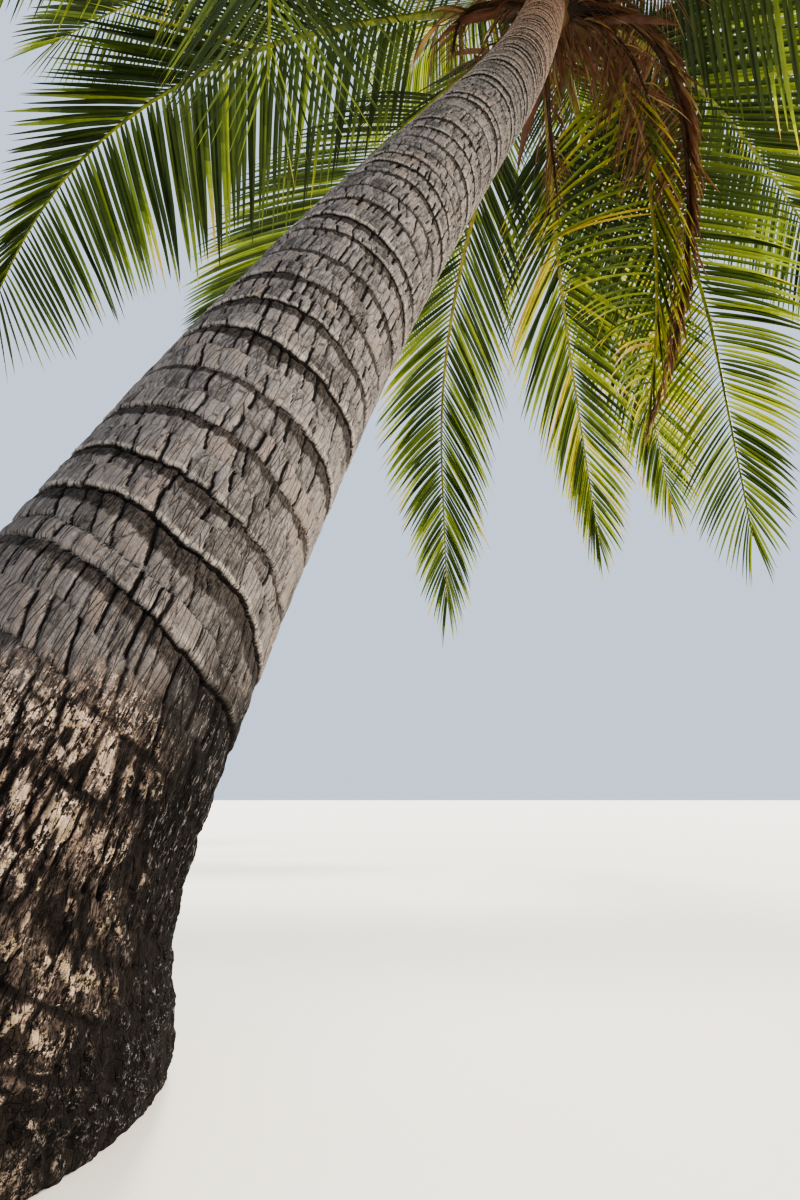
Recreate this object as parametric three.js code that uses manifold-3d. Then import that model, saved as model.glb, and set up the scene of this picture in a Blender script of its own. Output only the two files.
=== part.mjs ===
// Leaning coconut palm: a ringed trunk with a flared foot, the swollen heart that its fronds
// grow from, and a crown of arching fronds, each one a thin blade of its outline.
//
// Millimetres, +Z up. The origin is the middle of the flat cut under the trunk, at ground level.
// Azimuths are degrees from +X, counter-clockwise seen from above. Elevations are degrees
// above the level.

import * as THREE from "three";
import Module from "manifold-3d";

const wasm = await Module();
wasm.setup();

const GAP = 0.3; // between solids that touch on the real tree

// Trunk: its centre line leans steadily, with an early bend at the foot and one slow sway
const TRUNK_HEIGHT = 4220;
const TRUNK_LENGTH = 4660;
const LEAN = new THREE.Vector2(0.29, 0.299); // sideways travel for each millimetre of height
const FOOT_SHIFT = new THREE.Vector2(84, -170);
const FOOT_BEND_HEIGHT = 156;
const SWAY = new THREE.Vector2(-36, -11);
const TIP_RADIUS = 105;
const WAIST_RADIUS = 185;
const FOOT_RADIUS = 285;
const FLARE_HEIGHT = 162;
const TAPER_POWER = 1.3;
const FLARE_POWER = 1.6;
const UPRIGHT_FOOT_HEIGHT = 500; // the rings turn square to the trunk by this height
const TRUNK_SIDES = 24;
const TRUNK_RINGS = 30;

// Heart of the crown, above the trunk's tip, as radius at each height along the crown's axis
const HEART_PROFILE = [[0, 108], [60, 138], [140, 150], [240, 146], [360, 120], [480, 88], [600, 52]];
const HEART_SIDES = 20;
const SPEAR_LENGTH = 1700;
const SPEAR_RADIUS = 34;
const SPEAR_SIDES = 10;
const SPEAR_RINGS = 10;
const FROND_START = 70; // how far off the crown's axis a midrib begins, inside the heart

// Fronds: the stalk is bare near the heart, and the blade widens along it and then narrows
const STALK_LENGTH = 950;
const BLADE_SWELL = 750; // the length over which the blade reaches its full width
const BLADE_HALF_WIDTH = 590;
const BLADE_TIP_HALF_WIDTH = 40;
const TIP_LEAFLETS = 300; // how far the last leaflets reach past the midrib
const STALK_FOOT = { halfWidth: 50, halfDepth: 27 };
const STALK = { halfWidth: 30, halfDepth: 19 };
const STALK_FOOT_LENGTH = 450;
const RIB_HALF_DEPTH = 9;
const EDGE_HALF_DEPTH = 4;
const BLADE_DROOP = 0.5; // how far the blade's edges hang, as a share of its half width
const TIP_DROOP = 0.25;
const MIDRIB_STEPS = 60;
const STATION_SPACING = 330;
const MIRRORED_SIDES = [2, 5]; // so that a blade's top and underside fold alike

// Fronds that show, each [azimuth, rise, hang, length, sweep, bend, lift, twist, fullness]. A
// frond leaves the heart at its lift along the crown's axis, climbing at its rise. It bends over
// the share bend of its length, until it falls at its hang. Its azimuth drifts by its sweep, and
// its blade turns by its twist. Fullness scales the blade's width.
const SEEN_FRONDS = {
  frond_east: [2, 24, 66, 4350, -3, 1, 95, 0, 1],
  frond_high_east: [30, 39, 50, 4290, 4, 1, 210, 0, 1],
  frond_dead: [1, 24, 67, 3100, 155, 0.6, 15, 0, 0.45],
  frond_old: [23, 12, 71, 2700, 98, 0.6, 85, 0, 0.9],
  frond_northeast: [43, 23, 96, 4280, 0, 0.71, 160, 0, 0.95],
  frond_yellow_north: [60, 18, 67, 4200, -3, 1, 235, 0, 0.95],
  frond_yellow_tip: [75, 15, 72, 4270, -12, 1, 130, 0, 0.95],
  frond_north: [100, 16, 92, 4510, 5, 0.79, 190, 0, 1],
  frond_northwest: [133, 21, 13, 3620, 8, 1, 120, 0, 1],
  frond_west: [164, 27, 85, 4430, 16, 1, 185, 0, 1.05],
  frond_high_west: [189, 38, 68, 4300, 4, 1, 250, 0, 1],
  frond_over: [213, 57, 94, 4300, 6, 0.6, 320, -62, 1],
};

// Fronds of the near side, which lean out in turn low and high
const NEAR_FRONDS = 8;
const NEAR_START = 226;
const NEAR_STEP = 17.2;
const NEAR_LOW = { rise: 17, hang: 73, length: 4300, lift: 85 };
const NEAR_HIGH = { rise: 39, hang: 62, length: 4400, lift: 215 };

// Younger fronds stand steeper above these, and the youngest are almost straight. Each has its
// own azimuth and rise, because the crown itself leans.
const UPPER_AIMS = [[22, 52], [61, 46], [103, 54], [167, 58], [235, 60], [292, 58]];
const UPPER = { hang: 28, length: 4000, lift: 345, liftStep: 12 };
const YOUNG_AIMS = [[52, 60], [118, 70], [205, 82], [330, 72]];
const YOUNG = { hang: -18, length: 3500, lift: 440, liftStep: 22 };

// Colours and finish
const BARK = { color: 0x6f665e, roughness: 0.92, metalness: 0 };
const HEART = { color: 0x5a4630, roughness: 0.9, metalness: 0 };
const LEAF = { color: 0x3f6b1c, roughness: 0.6, metalness: 0 };
const OLD_LEAF = { color: 0x8c8a2c, roughness: 0.65, metalness: 0 };
const DEAD_LEAF = { color: 0x5b3c26, roughness: 0.9, metalness: 0 };
const SPEAR = { color: 0x8fae4a, roughness: 0.55, metalness: 0 };

const radians = THREE.MathUtils.degToRad;
const mix = THREE.MathUtils.lerp;
const smooth = (share) => THREE.MathUtils.smoothstep(share, 0, 1);

// Closed body through rings of equal count. A fan from each end ring's first point closes it.
// Each side is two triangles, and on the mirrored sides their shared edge runs the other way.
function loft(rings, mirrored = []) {
  const count = rings[0].length;
  const positions = rings.flat().flatMap((point) => [point.x, point.y, point.z]);
  const triangles = [];
  for (let ring = 0; ring < rings.length - 1; ring++) {
    for (let k = 0; k < count; k++) {
      const a = ring * count + k;
      const b = ring * count + (k + 1) % count;
      if (mirrored.includes(k)) {
        triangles.push(a, b, a + count, b, b + count, a + count);
      } else {
        triangles.push(a, b, b + count, a, b + count, a + count);
      }
    }
  }
  const last = (rings.length - 1) * count;
  for (let k = 1; k < count - 1; k++) {
    triangles.push(0, k + 1, k, last, last + k, last + k + 1);
  }
  const body = new THREE.BufferGeometry();
  body.setAttribute("position", new THREE.Float32BufferAttribute(positions, 3));
  body.setIndex(triangles);
  return body;
}

// Round ring of the given radius about a centre, square to its axis
function roundRing(centre, axis, radius, sides) {
  const across = new THREE.Vector3(1, 0, 0).addScaledVector(axis, -axis.x).normalize();
  const beside = new THREE.Vector3().crossVectors(axis, across);
  return Array.from({ length: sides }, (_, k) => {
    const angle = (2 * Math.PI * k) / sides;
    return centre.clone()
      .addScaledVector(across, radius * Math.cos(angle))
      .addScaledVector(beside, radius * Math.sin(angle));
  });
}

function toSolid(geometry) {
  return new wasm.Manifold(new wasm.Mesh({
    numProp: 3,
    vertProperties: Float32Array.from(geometry.getAttribute("position").array),
    triVerts: Uint32Array.from(geometry.getIndex().array),
  }));
}

function toGeometry(solid) {
  const mesh = solid.getMesh();
  const geometry = new THREE.BufferGeometry();
  geometry.setAttribute("position", new THREE.BufferAttribute(mesh.vertProperties, 3));
  geometry.setIndex(new THREE.BufferAttribute(mesh.triVerts, 1));
  return geometry;
}

function largestBody(solid) {
  return solid.decompose().reduce((best, piece) => (piece.volume() > best.volume() ? piece : best));
}

// Trunk
function trunkCentre(height) {
  const settled = 1 - Math.exp(-height / FOOT_BEND_HEIGHT);
  const swing = Math.sin((2 * Math.PI * height) / TRUNK_HEIGHT);
  return new THREE.Vector3(
    LEAN.x * height + FOOT_SHIFT.x * settled + SWAY.x * swing,
    LEAN.y * height + FOOT_SHIFT.y * settled + SWAY.y * swing,
    height,
  );
}

function trunkAxis(height) {
  return trunkCentre(height + 1).sub(trunkCentre(height)).normalize();
}

function trunkRadius(height) {
  const travelled = (height / TRUNK_HEIGHT) * TRUNK_LENGTH;
  const taper = (1 - height / TRUNK_HEIGHT) ** TAPER_POWER;
  const flare = Math.exp(-((travelled / FLARE_HEIGHT) ** FLARE_POWER));
  return TIP_RADIUS + (WAIST_RADIUS - TIP_RADIUS) * taper + (FOOT_RADIUS - WAIST_RADIUS) * flare;
}

function trunkBody(grow = 0) {
  const rings = [];
  for (let k = 0; k <= TRUNK_RINGS; k++) {
    const height = TRUNK_HEIGHT * (k / TRUNK_RINGS) ** 1.35; // closer together at the foot
    const turned = smooth(height / UPRIGHT_FOOT_HEIGHT);
    const axis = new THREE.Vector3(0, 0, 1).lerp(trunkAxis(height), turned).normalize();
    rings.push(roundRing(trunkCentre(height), axis, trunkRadius(height) + grow, TRUNK_SIDES));
  }
  return loft(rings);
}

// Crown's heart and the furled leaf at its top
const CROWN_FOOT = trunkCentre(TRUNK_HEIGHT);
const CROWN_AXIS = trunkAxis(TRUNK_HEIGHT);
const HEART_HEIGHT = HEART_PROFILE.at(-1)[0];

const onCrownAxis = (lift) => CROWN_FOOT.clone().addScaledVector(CROWN_AXIS, lift);

function heartBody(grow = 0) {
  const middle = HEART_HEIGHT / 2;
  return loft(HEART_PROFILE.map(([lift, radius]) => {
    const ring = onCrownAxis(lift + GAP + grow * Math.sign(lift - middle));
    return roundRing(ring, CROWN_AXIS, radius + grow, HEART_SIDES);
  }));
}

function spearBody(grow = 0) {
  const rings = [];
  for (let k = 0; k <= SPEAR_RINGS; k++) {
    const share = k / SPEAR_RINGS;
    const radius = SPEAR_RADIUS * (1 - 0.85 * share ** 1.5) + grow;
    const lift = HEART_HEIGHT + 2 * GAP + SPEAR_LENGTH * share;
    rings.push(roundRing(onCrownAxis(lift), CROWN_AXIS, radius, SPEAR_SIDES));
  }
  return loft(rings);
}

// Midrib of a frond: a frame at each of many even steps along it
function midrib([azimuth, rise, hang, length, sweep, bend, lift, twist]) {
  const reach = length + TIP_LEAFLETS;
  const step = reach / MIDRIB_STEPS;
  const outward = new THREE.Vector3(Math.cos(radians(azimuth)), Math.sin(radians(azimuth)), 0);
  const point = onCrownAxis(lift).addScaledVector(outward, FROND_START);
  const frames = [];
  for (let k = 0; k <= MIDRIB_STEPS; k++) {
    const share = Math.min(1, ((k + 0.5) * step) / length);
    const turn = radians(azimuth + sweep * share);
    const climb = radians(rise - (rise + hang) * smooth(share / bend));
    const along = new THREE.Vector3(
      Math.cos(climb) * Math.cos(turn), Math.cos(climb) * Math.sin(turn), Math.sin(climb),
    );
    const side = new THREE.Vector3(-Math.sin(turn), Math.cos(turn), 0);
    side.applyAxisAngle(along, radians(twist * share));
    frames.push({ point: point.clone(), along, side });
    point.addScaledVector(along, step);
  }
  return { frames, step };
}

// Frame at a distance along a midrib, turned evenly between its two nearest steps
function frameAt({ frames, step }, distance) {
  const at = THREE.MathUtils.clamp(Math.floor(distance / step), 0, frames.length - 2);
  const share = distance / step - at;
  const [here, next] = [frames[at], frames[at + 1]];
  const point = here.point.clone().lerp(next.point, share);
  const along = here.along.clone().lerp(next.along, share).normalize();
  const side = here.side.clone().lerp(next.side, share);
  side.addScaledVector(along, -side.dot(along)).normalize();
  return { point, along, side, up: new THREE.Vector3().crossVectors(along, side) };
}

// Size of a frond's section at a distance along it
function frondSection(distance, length, fullness) {
  const reach = length + TIP_LEAFLETS;
  const footShare = smooth(1 - distance / STALK_FOOT_LENGTH);
  const stalkHalfWidth = mix(STALK.halfWidth, STALK_FOOT.halfWidth, footShare);
  const stalkHalfDepth = mix(STALK.halfDepth, STALK_FOOT.halfDepth, footShare);
  const outward = Math.max(0, (distance - STALK_LENGTH) / (reach - STALK_LENGTH));
  const swell = smooth((distance - STALK_LENGTH) / BLADE_SWELL);
  const narrowing = 1 - outward ** 2.4;
  const blade = mix(BLADE_TIP_HALF_WIDTH, BLADE_HALF_WIDTH * fullness, narrowing);
  const halfWidth = mix(stalkHalfWidth, blade, swell);
  return {
    halfWidth,
    ribHalfDepth: mix(stalkHalfDepth, mix(RIB_HALF_DEPTH, EDGE_HALF_DEPTH, outward), swell),
    edgeHalfDepth: mix(stalkHalfDepth * 0.6, EDGE_HALF_DEPTH, swell),
    droop: swell * halfWidth * mix(BLADE_DROOP, TIP_DROOP, outward),
  };
}

// Part of a frond between two distances along its midrib: a shallow roof with its ridge on top
function frondBody(frond, from, to, grow = 0) {
  const [, , , length, , , , , fullness] = frond;
  const line = midrib(frond);
  const count = Math.max(3, Math.round((to - from) / STATION_SPACING));
  const rings = [];
  for (let k = 0; k <= count; k++) {
    const distance = mix(from - grow, to + grow, k / count);
    const { point, side, up } = frameAt(line, distance);
    const { halfWidth, ribHalfDepth, edgeHalfDepth, droop } = frondSection(distance, length, fullness);
    const place = (across, height) => point.clone()
      .addScaledVector(side, across)
      .addScaledVector(up, height);
    const width = halfWidth + grow;
    const rib = ribHalfDepth + grow;
    const edge = edgeHalfDepth + grow;
    rings.push([
      place(0, rib), place(-width, edge - droop), place(-width, -edge - droop),
      place(0, -rib), place(width, -edge - droop), place(width, edge - droop),
    ]);
  }
  return loft(rings, MIRRORED_SIDES);
}

// Every frond with its look
function allFronds() {
  const looks = { frond_dead: DEAD_LEAF, frond_old: OLD_LEAF };
  const list = Object.entries(SEEN_FRONDS)
    .map(([name, frond]) => ({ name, frond, look: looks[name] ?? LEAF, split: true }));
  for (let k = 0; k < NEAR_FRONDS; k++) {
    const { rise, hang, length, lift } = k % 2 ? NEAR_HIGH : NEAR_LOW;
    const frond = [NEAR_START + NEAR_STEP * k, rise, hang, length, 5, 1, lift, 0, 1];
    list.push({ name: `frond_near_${k + 1}`, frond, look: LEAF, split: true });
  }
  UPPER_AIMS.forEach(([azimuth, rise], k) => {
    const lift = UPPER.lift + UPPER.liftStep * (k % 3);
    const frond = [azimuth, rise, UPPER.hang, UPPER.length, 4, 1, lift, 0, 0.95];
    list.push({ name: `frond_upper_${k + 1}`, frond, look: LEAF, split: true });
  });
  YOUNG_AIMS.forEach(([azimuth, rise], k) => {
    const lift = YOUNG.lift + YOUNG.liftStep * k;
    const frond = [azimuth, rise, YOUNG.hang, YOUNG.length, 4, 1, lift, 0, 0.8];
    list.push({ name: `frond_young_${k + 1}`, frond, look: LEAF, split: false });
  });
  return list;
}

// A frond that bends is two pieces that meet where half of its bend is done
function frondPieces({ name, frond, split }) {
  const [, , , length, , bend] = frond;
  const reach = length + TIP_LEAFLETS;
  if (!split) {
    return [{ name, from: 0, to: reach }];
  }
  const middle = length * bend * 0.5;
  return [
    { name: `${name}_inner`, from: 0, to: middle - GAP / 2 },
    { name: `${name}_outer`, from: middle + GAP / 2, to: reach },
  ];
}

const boxesMeet = (a, b) => [0, 1, 2].every((axis) => a.min[axis] < b.max[axis] && b.min[axis] < a.max[axis]);

const palm = new THREE.Group();

function addPart(name, geometry, look) {
  const part = new THREE.Mesh(geometry, new THREE.MeshStandardMaterial(look));
  part.name = name;
  palm.add(part);
}

addPart("trunk", trunkBody(), BARK);
addPart("crown_heart", heartBody(), HEART);
addPart("spear_leaf", spearBody(), SPEAR);

// Each blade is cut back where it would run into one that is already placed
const placed = [trunkBody(GAP), heartBody(GAP), spearBody(GAP)].map(toSolid);
const placedBoxes = placed.map((solid) => solid.boundingBox());
for (const entry of allFronds()) {
  const own = [];
  for (const { name, from, to } of frondPieces(entry)) {
    let solid = toSolid(frondBody(entry.frond, from, to));
    const box = solid.boundingBox();
    placed.forEach((other, k) => {
      if (boxesMeet(box, placedBoxes[k])) {
        solid = solid.subtract(other);
      }
    });
    addPart(name, toGeometry(largestBody(solid)), entry.look);
    own.push(toSolid(frondBody(entry.frond, from, to, GAP)));
  }
  placed.push(...own);
  placedBoxes.push(...own.map((solid) => solid.boundingBox()));
}

export default palm;
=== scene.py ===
# %% [markdown]
# # A leaning coconut palm
# This lesson dresses a plain model of a coconut palm. The plain model gives every part its place
# and size: a tapering trunk, the swollen heart of the crown, a furled leaf at its top, and thirty
# fronds as thin blades. Here the trunk gets its ring scars and cracked bark, and every blade
# becomes a midrib with its two rows of leaflets. Lengths are metres, Z is up, and the origin is
# the middle of the flat cut under the trunk.

import math
from types import SimpleNamespace

import bpy
import numpy as np
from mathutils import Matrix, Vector


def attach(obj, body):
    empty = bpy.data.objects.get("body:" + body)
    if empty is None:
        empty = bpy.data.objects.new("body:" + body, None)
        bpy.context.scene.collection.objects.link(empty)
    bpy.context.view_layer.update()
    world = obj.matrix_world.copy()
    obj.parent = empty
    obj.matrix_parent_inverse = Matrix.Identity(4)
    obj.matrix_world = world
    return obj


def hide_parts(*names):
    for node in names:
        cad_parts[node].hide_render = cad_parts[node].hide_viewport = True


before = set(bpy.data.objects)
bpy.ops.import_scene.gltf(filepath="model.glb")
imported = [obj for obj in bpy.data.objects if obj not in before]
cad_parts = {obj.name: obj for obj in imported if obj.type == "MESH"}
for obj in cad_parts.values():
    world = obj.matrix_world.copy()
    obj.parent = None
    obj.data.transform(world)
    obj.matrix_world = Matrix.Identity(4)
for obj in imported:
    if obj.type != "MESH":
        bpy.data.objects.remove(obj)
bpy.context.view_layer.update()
bpy.ops.object.select_all(action="DESELECT")

# %% [markdown]
# ## Where the viewer stands
# The palm is seen from a low place close to its foot, looking up along the trunk. A wide lens
# takes in the flared foot and the crown together. The camera is made first, so that each part
# can be judged from there while it is made.

# %% Camera
EYE = (0.547, -0.712, 0.30)
LOOK_UP_DEG = 19.25
LENS_MM = 17.0
LONG_SIDE_MM = 36
NEAREST_SEEN = 0.02

camera_data = bpy.data.cameras.new("low_view")
camera_data.sensor_width = LONG_SIDE_MM
camera_data.lens = LENS_MM
camera_data.clip_start = NEAREST_SEEN
camera = bpy.data.objects.new("low_view", camera_data)
camera.location = EYE
camera.rotation_euler = (math.radians(90 + LOOK_UP_DEG), 0, 0)
bpy.context.scene.collection.objects.link(camera)
bpy.context.scene.camera = camera
print("camera at", EYE, "looking up by", LOOK_UP_DEG, "degrees")

# %% [markdown]
# ## Floor and light
# A plain pale floor and a plain pale surround, as in a studio, leave the eye to the palm. Leaves
# look alive when light comes through them from behind, and bark shows its cracks when light
# grazes it. So the strongest lamp is high on the right and warm, one shines through the crown
# from behind, and a low one grazes the trunk from the right. A weak and very broad one fills in
# from the right front. All four are broad enough to keep their shadows soft. The contrasting
# view keeps the cracks as dark as they are outdoors.

# %% Stage
FLOOR_SIZE = 160
FLOOR_COLOUR, FLOOR_ROUGHNESS = (0.80, 0.77, 0.72), 0.95
SURROUND_COLOUR, SURROUND_STRENGTH = (0.74, 0.84, 1.0), 0.80

bpy.ops.mesh.primitive_plane_add(size=FLOOR_SIZE)
floor = bpy.context.object
floor.name = "floor"
floor_finish = bpy.data.materials.new("floor_pale")
floor_finish.use_nodes = True
floor_shader = floor_finish.node_tree.nodes["Principled BSDF"]
floor_shader.inputs["Base Color"].default_value = (*FLOOR_COLOUR, 1)
floor_shader.inputs["Roughness"].default_value = FLOOR_ROUGHNESS
floor.data.materials.append(floor_finish)

world = bpy.data.worlds.new("surround")
world.use_nodes = True
backdrop = world.node_tree.nodes["Background"]
backdrop.inputs["Color"].default_value = (*SURROUND_COLOUR, 1)
backdrop.inputs["Strength"].default_value = SURROUND_STRENGTH
bpy.context.scene.world = world
bpy.context.scene.view_settings.look = "AgX - High Contrast"
print("floor", FLOOR_SIZE, "m wide, surround at strength", SURROUND_STRENGTH)

# %% Lamps
# Each lamp has the direction it shines from, its colour, its strength and its width in degrees.
LAMPS = {
    "key": ((0.95, 0.10, 0.72), (1.0, 0.92, 0.80), 4.6, 8),
    "fill": ((0.70, -0.70, 0.12), (1.0, 0.97, 0.93), 1.2, 30),
    "back": ((-0.2, 0.8, 0.9), (1.0, 0.98, 0.88), 2.2, 16),
    "low_side": ((0.98, 0.12, 0.20), (1.0, 0.84, 0.64), 2.6, 10),
}

for name, (toward, colour, strength, width_deg) in LAMPS.items():
    light = bpy.data.lights.new(name, "SUN")
    light.color = colour
    light.energy = strength
    light.angle = math.radians(width_deg)
    lamp = bpy.data.objects.new(name, light)
    lamp.rotation_euler = Vector(toward).to_track_quat("Z", "Y").to_euler()
    bpy.context.scene.collection.objects.link(lamp)
print(len(LAMPS), "lamps")

# %% [markdown]
# ## Small sums
# A few small helpers are used all through the lesson. Some fade one value into another without
# a hard edge, and the others handle directions for many points at once, as rows of an array.

# %% Small sums
UP = np.array([0.0, 0.0, 1.0])
EAST = np.array([1.0, 0.0, 0.0])


def smooth(share):
    """A share from 0 to 1, with soft ends."""
    share = np.clip(share, 0, 1)
    return share * share * (3 - 2 * share)


def ramp(value, start, end):
    """0 before start, 1 after end, and smooth between."""
    return smooth((value - start) / (end - start))


def mix(low, high, share):
    return low + (high - low) * share


def unit(vectors):
    return vectors / np.linalg.norm(vectors, axis=-1, keepdims=True)


def squared(vectors, axis):
    """Unit vectors square to the axis, as near as they can be to the given ones."""
    return unit(vectors - axis * (vectors * axis).sum(-1, keepdims=True))


def swung(vectors, axis, angle):
    """Vectors swung by the angle about an axis that they are square to."""
    angle = np.asarray(angle)[..., None]
    return vectors * np.cos(angle) + np.cross(axis, vectors) * np.sin(angle)


def moved(points, side, up, sideways, upwards):
    """Points moved by lengths along their own side and up directions."""
    return points + side * sideways[:, None] + up * upwards[:, None]


print("halfway up a ramp from 2 to 4:", ramp(3, 2, 4))

# %% [markdown]
# ## The tree's own measures
# Bark and leaflets have to lie exactly on the plain parts, so the few measures that shape the
# trunk and the fronds are written down here once, and every later part is worked out from them.
# The trunk leans steadily, bends early at its foot and sways once. Its radius tapers to the
# crown and flares at the foot.

# %% Trunk line
TRUNK_HEIGHT = 4.22
TRUNK_LENGTH = 4.66
LEAN = np.array([0.29, 0.299])
FOOT_SHIFT = np.array([0.084, -0.170])
FOOT_BEND_HEIGHT = 0.156
SWAY = np.array([-0.036, -0.011])
TIP_RADIUS, WAIST_RADIUS, FOOT_RADIUS = 0.105, 0.185, 0.285
FLARE_HEIGHT, TAPER_POWER, FLARE_POWER = 0.162, 1.3, 1.6
AXIS_STEP = 0.001


def trunk_centre(height):
    height = np.asarray(height, float)
    settled = 1 - np.exp(-height / FOOT_BEND_HEIGHT)
    swing = np.sin(2 * np.pi * height / TRUNK_HEIGHT)
    across = [LEAN[i] * height + FOOT_SHIFT[i] * settled + SWAY[i] * swing for i in (0, 1)]
    return np.stack([*across, height], -1)


def trunk_axis(height):
    height = np.asarray(height, float)
    return unit(trunk_centre(height + AXIS_STEP) - trunk_centre(height))


def trunk_height(travelled):
    """Height over the floor at a distance travelled along the trunk."""
    return travelled / TRUNK_LENGTH * TRUNK_HEIGHT


def trunk_radius(height):
    travelled = height / TRUNK_HEIGHT * TRUNK_LENGTH
    taper = (1 - height / TRUNK_HEIGHT) ** TAPER_POWER
    flare = np.exp(-((travelled / FLARE_HEIGHT) ** FLARE_POWER))
    return TIP_RADIUS + (WAIST_RADIUS - TIP_RADIUS) * taper + (FOOT_RADIUS - WAIST_RADIUS) * flare


def ring_points(centre, axis, theta, radius):
    """Points round a centre, square to its axis, at the angles theta."""
    return centre + swung(squared(EAST, axis), axis, theta) * np.asarray(radius)[..., None]


CROWN_FOOT = trunk_centre(TRUNK_HEIGHT)
CROWN_AXIS = trunk_axis(TRUNK_HEIGHT)
print("crown foot at", CROWN_FOOT.round(3), "leaning", CROWN_AXIS.round(3))

# %% [markdown]
# A frond leaves the heart at its lift along the crown's axis, climbing at its rise. It bends
# over the share called bend of its length, until it falls at its hang. Its azimuth drifts by its
# sweep, and its blade turns by its twist. All angles are degrees. The fronds that the viewer sees
# have aims of their own, and the near side, the upper crown and the youngest fronds follow
# simple rules.

# %% Frond aims
FIELDS = ("azimuth", "rise", "hang", "length", "sweep", "bend", "lift", "twist", "fullness")
SEEN_FRONDS = {
    "frond_east": (2, 24, 66, 4.35, -3, 1, 0.095, 0, 1),
    "frond_high_east": (30, 39, 50, 4.29, 4, 1, 0.21, 0, 1),
    "frond_dead": (1, 24, 67, 3.1, 155, 0.6, 0.015, 0, 0.45),
    "frond_old": (23, 12, 71, 2.7, 98, 0.6, 0.085, 0, 0.9),
    "frond_northeast": (43, 23, 96, 4.28, 0, 0.71, 0.16, 0, 0.95),
    "frond_yellow_north": (60, 18, 67, 4.2, -3, 1, 0.235, 0, 0.95),
    "frond_yellow_tip": (75, 15, 72, 4.27, -12, 1, 0.13, 0, 0.95),
    "frond_north": (100, 16, 92, 4.51, 5, 0.79, 0.19, 0, 1),
    "frond_northwest": (133, 21, 13, 3.62, 8, 1, 0.12, 0, 1),
    "frond_west": (164, 27, 85, 4.43, 16, 1, 0.185, 0, 1.05),
    "frond_high_west": (189, 38, 68, 4.3, 4, 1, 0.25, 0, 1),
    "frond_over": (213, 57, 94, 4.3, 6, 0.6, 0.32, -62, 1),
}
UNTWISTED = {"bend": 1, "twist": 0}
NEAR_FRONDS, NEAR_START, NEAR_STEP = 8, 226, 17.2
NEAR_BY_TURNS = (
    {"rise": 17, "hang": 73, "length": 4.3, "lift": 0.085},
    {"rise": 39, "hang": 62, "length": 4.4, "lift": 0.215},
)
# Upper and young fronds are aimed by azimuth and rise.
UPPER_AIMS = ((22, 52), (61, 46), (103, 54), (167, 58), (235, 60), (292, 58))
UPPER = {"hang": 28, "length": 4.0, "sweep": 4, "fullness": 0.95}
UPPER_LIFT, UPPER_LIFT_STEP = 0.345, 0.012
YOUNG_AIMS = ((52, 60), (118, 70), (205, 82), (330, 72))
YOUNG = {"hang": -18, "length": 3.5, "sweep": 4, "fullness": 0.8}
YOUNG_LIFT, YOUNG_LIFT_STEP = 0.44, 0.022


def numbered(kind, count):
    return [f"frond_{kind}_{k + 1}" for k in range(count)]


def all_fronds():
    """Every frond by name, as a dictionary of its measures."""
    fronds = {name: dict(zip(FIELDS, aims)) for name, aims in SEEN_FRONDS.items()}
    for k, name in enumerate(numbered("near", NEAR_FRONDS)):
        fronds[name] = dict(UNTWISTED, **NEAR_BY_TURNS[k % 2], sweep=5, fullness=1,
                            azimuth=NEAR_START + NEAR_STEP * k)
    for k, (name, aim) in enumerate(zip(numbered("upper", len(UPPER_AIMS)), UPPER_AIMS)):
        fronds[name] = dict(UNTWISTED, **UPPER, azimuth=aim[0], rise=aim[1],
                            lift=UPPER_LIFT + UPPER_LIFT_STEP * (k % 3))
    for k, (name, aim) in enumerate(zip(numbered("young", len(YOUNG_AIMS)), YOUNG_AIMS)):
        fronds[name] = dict(UNTWISTED, **YOUNG, azimuth=aim[0], rise=aim[1],
                            lift=YOUNG_LIFT + YOUNG_LIFT_STEP * k)
    return fronds


FRONDS = all_fronds()
print(len(FRONDS), "fronds, the longest", max(f["length"] for f in FRONDS.values()), "m")

# %% [markdown]
# A midrib is walked in short even steps, each in the direction that the frond has there. Later
# parts ask for any distance along it and get the point and its three directions.

# %% Midribs
FROND_START = 0.07
MIDRIB_STEPS = 60


def midrib(frond):
    """Points and frames at even steps along a frond's midrib, and the step between them."""
    step = frond["length"] / MIDRIB_STEPS
    share = np.minimum(1, (np.arange(MIDRIB_STEPS + 1) + 0.5) * step / frond["length"])
    turn = np.radians(frond["azimuth"] + frond["sweep"] * share)
    bent = smooth(share / frond["bend"])
    climb = np.radians(frond["rise"] - (frond["rise"] + frond["hang"]) * bent)
    flat = np.cos(climb)
    along = np.stack([flat * np.cos(turn), flat * np.sin(turn), np.sin(climb)], -1)
    level = np.stack([-np.sin(turn), np.cos(turn), 0 * turn], -1)
    side = swung(level, along, np.radians(frond["twist"] * share))
    azimuth = math.radians(frond["azimuth"])
    start = CROWN_FOOT + CROWN_AXIS * frond["lift"]
    start = start + FROND_START * np.array([math.cos(azimuth), math.sin(azimuth), 0])
    points = start + step * np.concatenate([np.zeros((1, 3)), np.cumsum(along[:-1], 0)])
    return points, along, side, step


def along_midrib(frond, distance):
    """Point, direction, side and up at each distance along a midrib."""
    *tracks, step = midrib(frond)
    marks = np.arange(MIDRIB_STEPS + 1) * step
    point, along, side = [
        np.stack([np.interp(distance, marks, track[:, i]) for i in range(3)], -1)
        for track in tracks
    ]
    along = unit(along)
    side = squared(side, along)
    return point, along, side, np.cross(along, side)


frond_tip = midrib(FRONDS["frond_north"])[0][-1]
print("frond_north ends at", frond_tip.round(2))

# %% [markdown]
# ## Chance that repeats
# Bark and leaves need irregularity, but the palm must come out the same each time. Two small
# helpers give that. One turns whole numbers into a steady value from 0 to 1, like dice that
# always fall alike. The other blends such values into a soft pattern round the trunk, from
# -1 to 1, which closes on itself where the sheet of bark meets. The last numbers that both are
# given are seeds, which only keep one pattern apart from another.

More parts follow.
